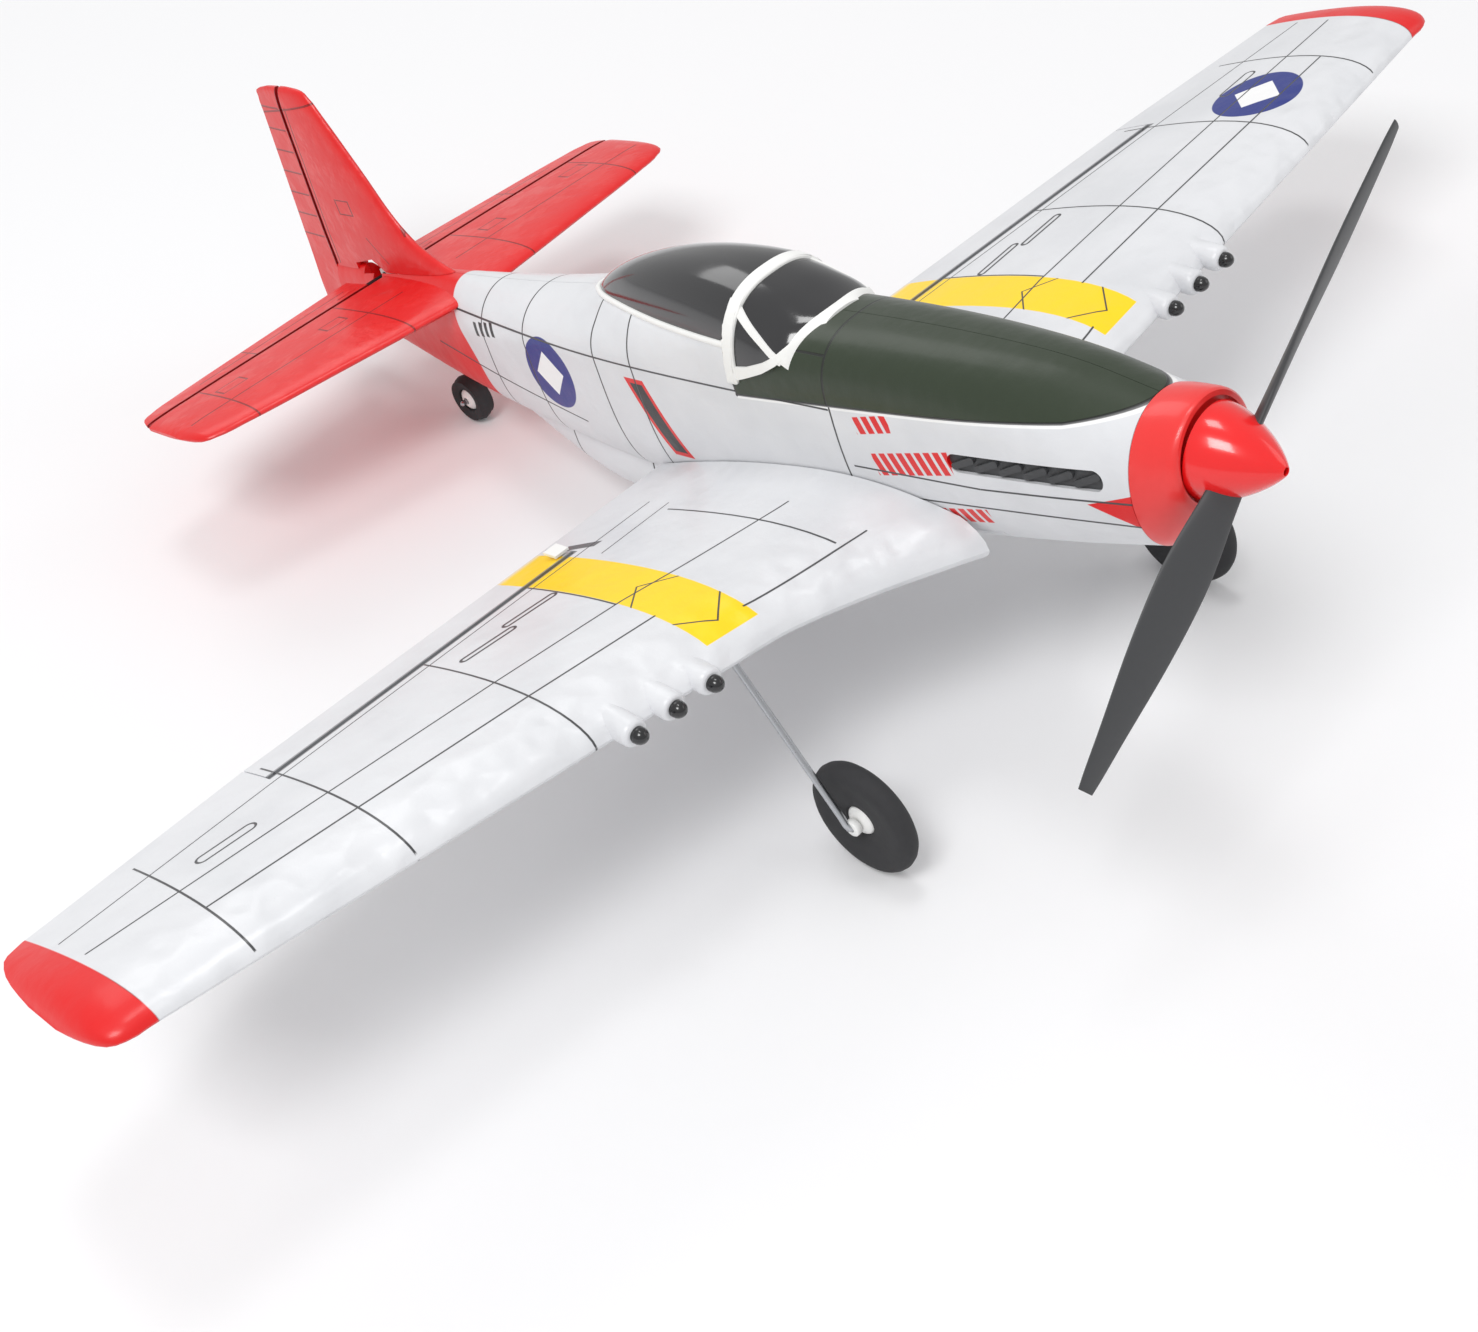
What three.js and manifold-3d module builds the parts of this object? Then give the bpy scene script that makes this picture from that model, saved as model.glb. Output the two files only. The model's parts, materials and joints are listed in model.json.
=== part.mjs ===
// A 400 mm foam warbird for radio control, in millimetres, +Z up, nose towards -Y.
// It stands on its three wheels, so the airframe is built level in its own frame
// (datum line z = 0 through the tailplane, span along X) and then leaned nose up.
import * as THREE from "three";
import { mergeVertices } from "three/addons/utils/BufferGeometryUtils.js";
import Module from "manifold-3d";

const wasm = await Module();
wasm.setup();

// Driving dimensions.
const gap = 0.3; // between touching pieces
const halfSpan = 200;
const foamWall = 2.6;
const noseY = -125; // front of the foam, behind the cowl ring
const tailY = 153;
const thrust = { y: -134, z: -4.9, droop: 6.3 }; // middle of the spinner base, and degrees nose down
const spinner = { radius: 9.1, length: 15.8, wall: 1 };
const prop = { radius: 64, phase: 36.5, hubRadius: 3.6, plane: 6 }; // plane: ahead of the spinner base
const gears = { module: 0.4, wheelTeeth: 36, pinionTeeth: 10, width: 3 };
const mainWheel = { x: 54, y: -73.7, z: -70.4, radius: 13.5, width: 5 };
const tailWheel = { y: 113, z: -34.8, radius: 6.6, width: 5 };
const wireRadius = 0.75;
const rodRadius = 0.5;
const spar = { y: -42, z: -27.4, radius: 1.5, length: 110 };
const gunX = [72.3, 81.8, 91.4];
const aileron = { inner: 52, outer: 139, hingeGap: 1.5 };
const elevator = { hingeY: 127.8, innerX: 7.5, hingeGap: 1.5 };
const rudderHinge = { top: [144.5, 56], foot: [155.2, -13.5], hingeGap: 1.5 }; // y, z of the axis ends
const stab = { tipX: 79, z: 0 };
const servoSize = { x: 6.5, y: 15, z: 11 };

// The lean that puts all three tyres on the ground. A tyre is a prism of flats that stands on one of them.
const tyreSides = 24;
const flatReach = Math.cos(Math.PI / tyreSides);
const rise = mainWheel.z - tailWheel.z;
const reach = tailWheel.y - mainWheel.y;
const lean = Math.atan2(-rise, reach)
  + Math.asin(((mainWheel.radius - tailWheel.radius) * flatReach) / Math.hypot(rise, reach));

// Materials, one for each finish.
const finish = (color, roughness = 0.5, metalness = 0) =>
  new THREE.MeshStandardMaterial({ color, roughness, metalness });
const silverFoam = finish(0xdcdee0, 0.45);
const redFoam = finish(0xe0252a, 0.4);
const redPlastic = finish(0xe51c1c, 0.25);
const darkGlazing = finish(0x2d2d2d, 0.2);
const whitePlastic = finish(0xf0f0ee, 0.4);
const blackPlastic = finish(0x3c3d3e, 0.6);
const rubberFoam = finish(0x2b2b2c, 0.85);
const steel = finish(0xa8abb0, 0.3, 1);
const brass = finish(0xc7a24a, 0.35, 1);
const carbon = finish(0x202022, 0.5);
const boardGreen = finish(0x1f6b3a, 0.5);
const batteryWrap = finish(0x2a4fa8, 0.4);

// Solids.
function solid(geometry) {
  const loose = geometry.index ? geometry.toNonIndexed() : geometry;
  const bare = new THREE.BufferGeometry().setAttribute("position", loose.getAttribute("position"));
  const merged = mergeVertices(bare, 1e-4);
  const triVerts = new Uint32Array(merged.index.array);
  const vertProperties = merged.attributes.position.array;
  const made = new wasm.Manifold(new wasm.Mesh({ numProp: 3, vertProperties, triVerts }));
  if (made.volume() >= 0) return made;
  for (let i = 0; i < triVerts.length; i += 3) {
    [triVerts[i + 1], triVerts[i + 2]] = [triVerts[i + 2], triVerts[i + 1]];
  }
  return new wasm.Manifold(new wasm.Mesh({ numProp: 3, vertProperties, triVerts }));
}

function geometryOf(made) {
  const { vertProperties, triVerts } = made.getMesh();
  const geometry = new THREE.BufferGeometry();
  geometry.setAttribute("position", new THREE.BufferAttribute(vertProperties, 3));
  geometry.setIndex(new THREE.BufferAttribute(triVerts, 1));
  geometry.computeVertexNormals();
  return geometry;
}

const airframe = new THREE.Group();

function add(name, made, material) {
  const mesh = new THREE.Mesh(geometryOf(made), material);
  mesh.name = name;
  airframe.add(mesh);
}

// A closed skin over rings of equal point counts, with a fan on each end.
function loft(rings) {
  const count = rings[0].length;
  const points = rings.flat();
  const faces = [];
  for (let i = 0; i + 1 < rings.length; i++) {
    for (let j = 0; j < count; j++) {
      const a = i * count + j;
      const b = i * count + ((j + 1) % count);
      faces.push(a, b, a + count, b, b + count, a + count);
    }
  }
  for (const [start, turned] of [[0, true], [(rings.length - 1) * count, false]]) {
    const middle = new THREE.Vector3();
    for (let j = 0; j < count; j++) middle.addScaledVector(points[start + j], 1 / count);
    points.push(middle);
    for (let j = 0; j < count; j++) {
      const a = start + j;
      const b = start + ((j + 1) % count);
      faces.push(points.length - 1, ...(turned ? [b, a] : [a, b]));
    }
  }
  const geometry = new THREE.BufferGeometry().setFromPoints(points);
  geometry.setIndex(faces);
  return solid(geometry);
}

const boxAt = (x0, x1, y0, y1, z0, z1) =>
  solid(new THREE.BoxGeometry(x1 - x0, y1 - y0, z1 - z0)
    .translate((x0 + x1) / 2, (y0 + y1) / 2, (z0 + z1) / 2));

// A cylinder between two points.
function rod(from, to, radius, sides = 8) {
  const a = new THREE.Vector3(...from);
  const b = new THREE.Vector3(...to);
  const turn = new THREE.Quaternion().setFromUnitVectors(
    new THREE.Vector3(0, 1, 0), b.clone().sub(a).normalize());
  const geometry = new THREE.CylinderGeometry(radius, radius, a.distanceTo(b), sides);
  geometry.applyQuaternion(turn);
  geometry.translate(...a.add(b).multiplyScalar(0.5));
  return solid(geometry);
}

// A turned piece whose axis is X, centred on a point: profile points are (radius, x).
function turnedOnX(profile, x, y, z, segments, turn = 0) {
  const points = profile.map(([r, along]) => new THREE.Vector2(r, along));
  const geometry = new THREE.LatheGeometry(points, segments).rotateZ(-Math.PI / 2);
  return solid(geometry.rotateX(turn).translate(x, y, z));
}

// An outline in a plane, pushed to a thickness.
function plate(outline, thickness) {
  const shape = new THREE.Shape(outline.map(([u, v]) => new THREE.Vector2(u, v)));
  return new THREE.ExtrudeGeometry(shape, { depth: thickness, bevelEnabled: false });
}

// Values of a table row at any station, smooth between the rows.
function smoothTable(rows) {
  const size = rows[0].length - 1;
  const stations = rows.map((row) => row[0]);
  const values = rows.flatMap((row) => row.slice(1));
  const curve = new THREE.CubicInterpolant(stations, values, size, new Float64Array(size));
  return (station) => Array.from(curve.evaluate(station));
}

const steps = (from, to, count) =>
  Array.from({ length: count + 1 }, (_, i) => from + ((to - from) * i) / count);

// The fuselage's section at each station: half width, top, bottom, widest height,
// and how square its upper and lower halves are (2 is an ellipse).
const fuselageSection = smoothTable([
  [-125, 13.1, 5.5, -25.1, -9.7, 2.1, 2.1],
  [-108, 13.9, 9.4, -28.6, -7, 2.2, 2.2],
  [-85, 14.5, 11.4, -32.4, -4, 2.4, 2.3],
  [-52, 14.9, 11.9, -36.2, -2, 2.6, 2.4],
  [-25, 15.4, 11, -38, -2, 2.6, 2.6],
  [10, 15.3, 9.8, -37.5, -2, 2.4, 2.8],
  [30, 14.5, 8.7, -35.5, -2.5, 2.2, 3],
  [55, 12.6, 6.5, -32.5, -4, 2, 3.2],
  [75, 10.8, 5.2, -29.6, -6, 2, 3.2],
  [100, 7.9, 4.2, -26, -8, 2, 3],
  [130, 4.6, 3, -19.5, -8, 2, 2.6],
  [153, 2.7, 1.5, -13.5, -6, 2, 2.4],
]);

function sectionRing(y, [half, top, bottom, middle, upper, lower], inset, count) {
  return steps(0, 2 * Math.PI, count).slice(0, -1).map((angle) => {
    const c = Math.cos(angle);
    const s = Math.sin(angle);
    const power = 2 / (s > 0 ? upper : lower);
    const reach = s > 0 ? top - inset - middle : middle - bottom - inset;
    return new THREE.Vector3(
      (half - inset) * Math.sign(c) * Math.abs(c) ** power,
      y,
      middle + reach * Math.sign(s) * Math.abs(s) ** power,
    );
  });
}

const fuselageBody = (from, to, inset, rings = 18, count = 24) =>
  loft(steps(from, to, rings).map((y) => sectionRing(y, fuselageSection(y), inset, count)));

// The radiator scoop under the wing.
const scoopSection = smoothTable([
  [-6, 7.5, -30, -44.5, -38, 2.4, 2.6],
  [12, 8.6, -28, -46.6, -38, 2.4, 2.8],
  [32, 8.8, -26, -46.4, -36, 2.4, 2.8],
  [46, 8.4, -25, -44.6, -34, 2.4, 2.8],
  [58, 7.6, -24, -40.6, -31, 2.4, 2.8],
  [76, 5.6, -23, -31.5, -28, 2.4, 2.8],
]);

function scoopBody() {
  const outside = loft(steps(-6, 76, 9).map((y) => sectionRing(y, scoopSection(y), 0, 16)));
  const inlet = loft(steps(-7, 2, 3).map((y) => sectionRing(y, [6.2, -39, -43.3, -41, 2.6, 2.6], 0, 16)));
  return { outside, inlet };
}

// The windscreen and the bubble behind it: half width, top, bottom, widest height, squareness.
const windscreenSection = smoothTable([
  [-46.5, 9, 12, -6, 1, 2.6, 2],
  [-42, 14.2, 13.9, -6, 1, 2.6, 2],
  [-35, 15.2, 16.9, -6, 1, 2.6, 2],
  [-22, 15.4, 20.6, -6, 1, 2.6, 2],
]);
const bubbleSection = smoothTable([
  [-32, 14.6, 18.4, 7, 8.5, 2.4, 2.2],
  [-28, 14.4, 19.6, 7, 8.5, 2.4, 2.2],
  [-14, 13.3, 21, 7, 8.6, 2.3, 2.2],
  [2, 11.2, 20, 7, 8.7, 2.2, 2.2],
  [16, 8.4, 17, 7, 8.8, 2.1, 2.2],
  [26, 5.4, 13.2, 7.4, 9, 2, 2.2],
  [31, 2.6, 10.2, 8, 9, 2, 2.2],
]);
const archFoot = { y: -25.3, z: 0.8, slant: 9.1, halfWidth: 1.6 }; // slant: degrees, top towards the nose
const sill = { glassZ: 8.6, paneZ: 2.5, glass: 1.2 };

const windscreenBody = (from, inset) =>
  loft(steps(from, -22, 6).map((y) => sectionRing(y, windscreenSection(y), inset, 20)));
const bubbleBody = (from, to, inset) =>
  loft(steps(from, to, 11).map((y) => sectionRing(y, bubbleSection(y), inset, 18)));

// A slab across the fuselage, leaned like the arch, between two distances aft of it.
const archSlab = (from, to) =>
  boxAt(-40, 40, from, to, -60, 60).rotate([archFoot.slant, 0, 0]).translate([0, archFoot.y, archFoot.z]);

function buildCanopy() {
  const { glassZ, paneZ, glass } = sill;
  const below = (z) => boxAt(-30, 30, -60, 40, -20, z);
  const deck = fuselageBody(noseY, tailY, -gap - 0.1);
  const clear = archFoot.halfWidth + gap;
  const bubble = bubbleBody(-32, 31, 0).subtract(bubbleBody(-33, 27, glass)).subtract(below(glassZ));
  add("canopy_bubble", bubble.subtract(deck).intersect(archSlab(clear, 80)), darkGlazing);
  const pane = windscreenBody(-46.5, 0).subtract(windscreenBody(-44, glass)).subtract(below(paneZ));
  add("windscreen", pane.subtract(deck).intersect(archSlab(-80, -clear)), darkGlazing);
  const hoop = windscreenBody(-40, -0.7).subtract(windscreenBody(-41, glass + 0.4)).subtract(below(archFoot.z));
  const band = archSlab(-archFoot.halfWidth, archFoot.halfWidth);
  add("canopy_arch", hoop.subtract(deck).intersect(band), whitePlastic);
}

// The raised foam saddle that carries the bubble.
const saddleBody = () =>
  loft(steps(-23.4, 33, 9).map((y) => {
    const [half] = bubbleSection(Math.min(y, 31));
    return [[half + 0.4, sill.glassZ - gap], [-half - 0.4, sill.glassZ - gap], [-half - 3, 2.5], [half + 3, 2.5]]
      .map(([x, z]) => new THREE.Vector3(x, y, z));
  }));

// Fuselage halves, hollow, split on the centre plane.
function buildFuselage(cutters) {
  const scoop = scoopBody();
  let body = fuselageBody(noseY, tailY, 0).add(saddleBody()).add(scoop.outside).subtract(scoop.inlet);
  body = body.subtract(fuselageBody(noseY + 1.5, 128, foamWall, 10, 16));
  for (const cutter of cutters) body = body.subtract(cutter);
  add("fuselage_left", body.intersect(boxAt(gap / 2, 60, -200, 200, -100, 100)), silverFoam);
  add("fuselage_right", body.intersect(boxAt(-60, -gap / 2, -200, 200, -100, 100)), silverFoam);
}

// The thrust line's own frame: its Y axis runs aft along the shaft from the spinner base.
const thrustTurn = new THREE.Matrix4()
  .makeTranslation(0, thrust.y, thrust.z)
  .multiply(new THREE.Matrix4().makeRotationX(THREE.MathUtils.degToRad(thrust.droop)));
const onThrustLine = (geometry) => solid(geometry.applyMatrix4(thrustTurn));

// A turned piece on the thrust line: profile points are (radius, distance aft of the spinner base).
const turnedOnShaft = (profile, segments = 32) =>
  onThrustLine(new THREE.LatheGeometry(profile.map(([r, along]) => new THREE.Vector2(r, along)), segments));

function buildCowlRing() {
  const front = [11.4, 6.2, -16.4, -4.9, 2, 2];
  const rings = [
    [noseY - gap, fuselageSection(noseY)],
    [-128, [12.9, 5.9, -23.6, -9, 2.1, 2.1]],
    [-131.5, [12.2, 6.2, -20, -7, 2, 2.1]],
    [-133.6, [11.6, 6.1, -17, -5.4, 2, 2]],
    [-134.6, front.map((value, i) => (i === 0 ? value - 0.5 : value))],
  ];
  const ring = loft(rings.map(([y, section]) => sectionRing(y, section, 0, 28)));
  const recess = turnedOnShaft([[0, -6], [9.7, -6], [9.7, 1.3], [5, 1.3], [5, 14], [0, 14]]);
  add("cowl_ring", ring.subtract(recess), redFoam);
}

// Spinner, propeller, shaft and gears.
const spinnerRadius = (aft) => spinner.radius * (1 - (-aft / spinner.length) ** 1.6) ** 0.8;

function bladeBody() {
  const blade = smoothTable([
    [3, 6, 40, 1.9],
    [10, 7, 34, 1.8],
    [24, 10.6, 26, 1.6],
    [38, 9.9, 20, 1.3],
    [54, 6.4, 15, 1],
    [64, 4, 13, 0.8],
  ]);
  const rings = steps(3, prop.radius, 10).map((radius) => {
    const [chord, pitch, thick] = blade(radius);
    const turn = -THREE.MathUtils.degToRad(pitch);
    return steps(0, 2 * Math.PI, 10).slice(0, -1).map((angle) => {
      const along = 0.5 * chord * Math.cos(angle);
      const across = 0.5 * thick * Math.sin(angle);
      return new THREE.Vector3(
        radius,
        along * Math.sin(turn) + across * Math.cos(turn) - prop.plane,
        along * Math.cos(turn) - across * Math.sin(turn),
      );
    });
  });
  return loft(rings);
}

function buildPropeller() {
  const outside = steps(0, 0.985, 7).map((part) => {
    const aft = -part * spinner.length;
    return [spinnerRadius(aft), aft];
  });
  const inside = outside.slice(0, 6).map(([r, aft]) => [r - spinner.wall, aft]).reverse();
  const tipHole = [[0.9, -spinner.length * 0.985], [0.9, -spinner.length + 3.6]];
  const shell = turnedOnShaft([...outside, ...tipHole, [inside[0][0], inside[0][1]], ...inside.slice(1),
    outside[0]], 24);
  const hub = rod([0, -prop.plane - 3, 0], [0, -prop.plane + 3, 0], prop.hubRadius, 20);
  const blade = bladeBody();
  const phase = prop.phase;
  const blades = hub.add(blade).add(blade.rotate([0, 180, 0]));
  const bore = rod([0, -20, 0], [0, 5, 0], 0.75 + gap, 12);
  const place = (made) => solid(geometryOf(made.rotate([0, -phase, 0])).applyMatrix4(thrustTurn));
  add("propeller", place(blades.subtract(bore)), blackPlastic);
  const slot = (side) => loft([3.8, 8, 12].map((radius) => {
    const turn = -THREE.MathUtils.degToRad(36);
    return steps(0, 2 * Math.PI, 10).slice(0, -1).map((angle) => {
      const along = 5 * Math.cos(angle);
      const across = 1.8 * Math.sin(angle);
      return new THREE.Vector3(side * radius,
        along * Math.sin(turn) + across * Math.cos(turn) - prop.plane,
        side * (along * Math.cos(turn) - across * Math.sin(turn)));
    });
  }));
  const slots = place(slot(1).add(slot(-1)));
  add("spinner", shell.subtract(slots), redPlastic);
  add("prop_shaft", turnedOnShaft([[0, -11.2], [0.75, -11.2], [0.75, 26], [0, 26]], 12), steel);
}

// A spur gear's outline: teeth narrower than their gaps, so a pair runs with clearance.
function gearOutline(teeth, phase) {
  const pitch = (gears.module * teeth) / 2;
  const tooth = (2 * Math.PI) / teeth;
  const outline = [];
  for (let i = 0; i < teeth; i++) {
    const middle = i * tooth + phase;
    for (const [offset, height] of [[-0.27, -1.2], [-0.1, 0.8], [0.1, 0.8], [0.27, -1.2]]) {
      const radius = pitch + height * gears.module;
      const angle = middle + offset * tooth;
      outline.push([radius * Math.cos(angle), radius * Math.sin(angle)]);
    }
  }
  return outline;
}

const gearCentres = (gears.module * (gears.wheelTeeth + gears.pinionTeeth)) / 2;

function buildDrive() {
  const toothAt = (teeth, phase, bore, aft, drop) => {
    const shape = new THREE.Shape(gearOutline(teeth, phase).map(([u, v]) => new THREE.Vector2(u, v)));
    shape.holes.push(new THREE.Path().absarc(0, 0, bore, 0, 2 * Math.PI, true));
    const geometry = new THREE.ExtrudeGeometry(shape, { depth: gears.width, bevelEnabled: false, curveSegments: 12 });
    return onThrustLine(geometry.rotateX(-Math.PI / 2).translate(0, aft, -drop));
  };
  add("spur_gear", toothAt(gears.wheelTeeth, -Math.PI / 2, 0.75 + gap, 17, 0), whitePlastic);
  const half = Math.PI / gears.pinionTeeth;
  add("motor_pinion", toothAt(gears.pinionTeeth, Math.PI / 2 + half, 0.5 + gap, 17, gearCentres), brass);
  const motor = new THREE.LatheGeometry([[0, 16.5], [0.5, 16.5], [0.5, 22], [4.2, 22], [4.4, 22.4],
    [4.4, 41.6], [4.2, 42], [0, 42]].map(([r, along]) => new THREE.Vector2(r, along)), 24);
  add("motor", onThrustLine(motor.translate(0, 0, -gearCentres)), steel);
  const bearer = (x0, x1, y0, y1, z0, z1) =>
    new THREE.BoxGeometry(x1 - x0, y1 - y0, z1 - z0)
      .translate((x0 + x1) / 2, (y0 + y1) / 2, (z0 + z1) / 2);
  const frontPlate = solid(bearer(-4, 4, 12.4, 14.6, -15, 4));
  const rearPlate = solid(bearer(-6, 6, 22.6, 30, -15, 3));
  const spine = solid(bearer(-3, 3, 12.4, 30, -16, -14.4));
  const shaftHole = rod([0, 0, 0], [0, 50, 0], 0.75 + gap, 12);
  const motorSeat = rod([0, 21, -gearCentres], [0, 50, -gearCentres], 4.4 + gap, 24);
  const pinionHole = rod([0, 0, -gearCentres], [0, 20, -gearCentres], 3, 16);
  const frame = frontPlate.add(rearPlate).add(spine).subtract(shaftHole).subtract(motorSeat).subtract(pinionHole);
  add("gearbox_frame", solid(geometryOf(frame).applyMatrix4(thrustTurn)), blackPlastic);
}

// The wing: leading edge, trailing edge and chord line height at a distance out.
const wingLine = (x) => -29.8 + 0.0885 * (x - 20);
const leadingEdge = (x) => -63.3 + 0.073 * (x - 97.7) - (x < 54 ? 12 * ((54 - x) / 37) ** 1.4 : 0);
const trailingEdge = (x) => (x < 140 ? -1.6 - 0.152 * (x - 140) : -1.6 - 0.2 * (x - 140));
const thickness = (c) =>
  10 * (0.2969 * Math.sqrt(c) - 0.126 * c - 0.3516 * c ** 2 + 0.2843 * c ** 3 - 0.1036 * c ** 4);

// One aerofoil ring: front and back of the chord, its height, and depth above and below as parts of it.
function aerofoilRing(x, front, back, z, above, below, edge, side, raise = 0) {
  const chord = back - front;
  const places = steps(0, Math.PI, 8).map((angle) => (1 - Math.cos(angle)) / 2);
  const over = places.map((c) => [c, z + above * chord * thickness(c) + edge * c + raise * Math.sin(Math.PI * c)]);
  const under = places.slice(1).reverse().map((c) => [c, z - below * chord * thickness(c) - edge * c]);
  return [...over, ...under].map(([c, height]) => new THREE.Vector3(side * x, front + c * chord, height));
}

const tipStations = [[194, -56.4, -12.6, 0.92], [197.5, -53.4, -15.6, 0.72], [199.3, -47, -23, 0.42],
  [halfSpan, -42, -31, 0.15]];

function wingBody(side) {
  const rings = [12, 16, 20, 26, 33, 42, 54, 75, 98, 120, 139, 165, 189].map((x) => {
    const raise = x < 26 ? 2.6 * ((26 - x) / 12) ** 2 : 0;
    return aerofoilRing(x, leadingEdge(x), trailingEdge(x), wingLine(x), 0.1, 0.052, 0.35, side, raise);
  });
  for (const [x, front, back, scale] of tipStations) {
    rings.push(aerofoilRing(x, front, back, wingLine(x), 0.1 * scale, 0.052 * scale, 0.35 * scale, side));
  }
  return loft(rings);
}

// The aileron's hinge axis, straight along the wing.
const hingeAt = (x) => ({ y: -0.6 - 0.143 * (x - 52), z: wingLine(x) + 1.3 });

function aileronPrism(side, shrink) {
  const start = aileron.inner + shrink;
  const end = aileron.outer - shrink;
  const lead = shrink ? aileron.hingeGap * 0.4 : -aileron.hingeGap * 0.6;
  const corners = [
    [start, hingeAt(start).y + lead],
    [end, hingeAt(end).y + lead],
    [end, 40],
    [start, 40],
  ];
  return solid(plate(corners.map(([x, y]) => [side * x, y]), 60).translate(0, 0, -50));
}

function gunFairing(x, side) {
  const z = wingLine(x);
  const nose = new THREE.Vector3(side * x, -67.4, z + 0.2);
  const tail = new THREE.Vector3(side * x, -44, z + 4.6);
  const profile = [[0, 0], [2.5, 0], [2.9, 0.6], [2.9, 7], [2.2, 16], [0.8, 23.6], [0, 23.8]];
  const geometry = new THREE.LatheGeometry(profile.map(([r, a]) => new THREE.Vector2(r, a)), 12);
  const turn = new THREE.Quaternion().setFromUnitVectors(
    new THREE.Vector3(0, 1, 0), tail.clone().sub(nose).normalize());
  return solid(geometry.applyQuaternion(turn).translate(...nose));
}

function gunMuzzle(x, side) {
  const profile = [[0, 0], [1.75, 0], [1.75, 4], [1.45, 5], [0.8, 5.7], [0, 5.9]];
  const geometry = new THREE.LatheGeometry(profile.map(([r, a]) => new THREE.Vector2(r, a)), 12);
  return solid(geometry.rotateX(Math.PI).translate(side * x, -64 - gap, wingLine(x) + 0.2));
}

// The aileron servo, let into the wing's underside ahead of the aileron's inner end,
// its arm and pushrod on the inboard side, and the horn through the aileron.
const aileronServo = { x: 62, y: -28, pivotDrop: 6.4, arm: 5 };

function aileronServoBox(side, grow) {
  const { x, y } = aileronServo;
  const z = wingLine(x);
  const half = servoSize.x / 2 + grow;
  const low = z - 8.4 - (grow ? 10 : 0);
  return boxAt(side * x - half, side * x + half, y - servoSize.y / 2 - grow, y + servoSize.y / 2 + grow,
    low, z + 2.2 + grow);
}

// A flat piece between two distances out on one side.
const slab = (side, x0, x1, y0, y1, z0, z1) =>
  boxAt(Math.min(side * x0, side * x1), Math.max(side * x0, side * x1), y0, y1, z0, z1);

function buildAileronDrive(side, word) {
  const { x, y, pivotDrop, arm } = aileronServo;
  const pivotY = y + 4;
  const pivotZ = wingLine(x) - pivotDrop;
  const face = x - servoSize.x / 2;
  const shaft = rod([side * (face + 1), pivotY, pivotZ], [side * (face - 1), pivotY, pivotZ], 1.3);
  add(`aileron_servo_${word}`, aileronServoBox(side, 0).add(shaft), blackPlastic);
  const armOuter = face - 1 - gap;
  const armInner = armOuter - 1.2;
  const boss = rod([side * armOuter, pivotY, pivotZ], [side * armInner, pivotY, pivotZ], 1.8);
  const leg = slab(side, armInner, armOuter, pivotY - 1, pivotY + 1, pivotZ - arm - 1, pivotZ);
  add(`aileron_arm_${word}`, boss.add(leg), whitePlastic);
  const rodX = armInner - gap - rodRadius;
  const rodZ = pivotZ - arm;
  const hinge = hingeAt(rodX);
  const rodFrom = [side * rodX, pivotY - 0.8, rodZ];
  add(`aileron_pushrod_${word}`, rod(rodFrom, [side * rodX, hinge.y + 0.8, rodZ], rodRadius), steel);
  const outer = rodX - rodRadius - 3 * gap; // the slanted hinge carries the horn sideways as it turns
  const inner = outer - 1.2;
  const skinTop = hinge.z + 2.4;
  const legBelow = slab(side, inner, outer, hinge.y - 1.2, hinge.y + 1.4, rodZ - 1.2, hinge.z - 4.6)
    .add(slab(side, inner, outer, hinge.y - 1.2, hinge.y + 5, hinge.z - 6.4, hinge.z - 4.6));
  const stem = slab(side, inner, outer, hinge.y + 2.6, hinge.y + 5, hinge.z - 6.4, skinTop);
  const topPlate = slab(side, inner - 0.4, outer + 2.2, hinge.y + 1.6, hinge.y + 6, skinTop - 0.6, skinTop);
  add(`aileron_horn_${word}`, legBelow.add(stem).add(topPlate), whitePlastic);
  const stemHole = slab(side, inner - gap, outer + gap, hinge.y + 2.6 - gap, hinge.y + 5 + gap,
    hinge.z - 10, skinTop + 2);
  const plateHole = slab(side, inner - 0.4 - gap, outer + 2.2 + gap, hinge.y + 1.6 - gap, hinge.y + 6 + gap,
    skinTop - 0.6 - gap, skinTop + 4);
  return stemHole.add(plateHole);
}

const gearBlock = (side, grow) => slab(side, 55.6 - grow, 63.6 + grow, -61 - grow, -50 + grow,
  wingLine(60) - 3.2 - (grow ? 4 : 0), wingLine(60) - 0.6 + grow);

function buildWing(side, word) {
  const whole = wingBody(side);
  let wing = whole.subtract(fuselageBody(noseY, tailY, -gap - 0.1, 18, 24));
  wing = wing.subtract(loft(steps(-7, 77, 9).map((y) => sectionRing(y, scoopSection(y), -gap - 0.1, 16))));
  for (const x of gunX) wing = wing.add(gunFairing(x, side));
  const sparHole = rod([0, spar.y, spar.z], [side * (spar.length / 2 + gap), spar.y, spar.z], spar.radius + gap);
  const cuts = [aileronPrism(side, 0), sparHole, aileronServoBox(side, gap), gearBlock(side, gap)];
  gunX.forEach((x, i) => {
    const z = wingLine(x) + 0.2;
    cuts.push(rod([side * x, -70, z], [side * x, -64, z], 1.75 + gap, 16));
    add(`gun_muzzle_${word}_${i + 1}`, gunMuzzle(x, side), blackPlastic);
  });
  for (const cut of cuts) wing = wing.subtract(cut);
  add(`wing_${word}`, wing, silverFoam);
  const hornHole = buildAileronDrive(side, word);
  add(`aileron_${word}`, whole.intersect(aileronPrism(side, gap)).subtract(hornHole), silverFoam);
}

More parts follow.
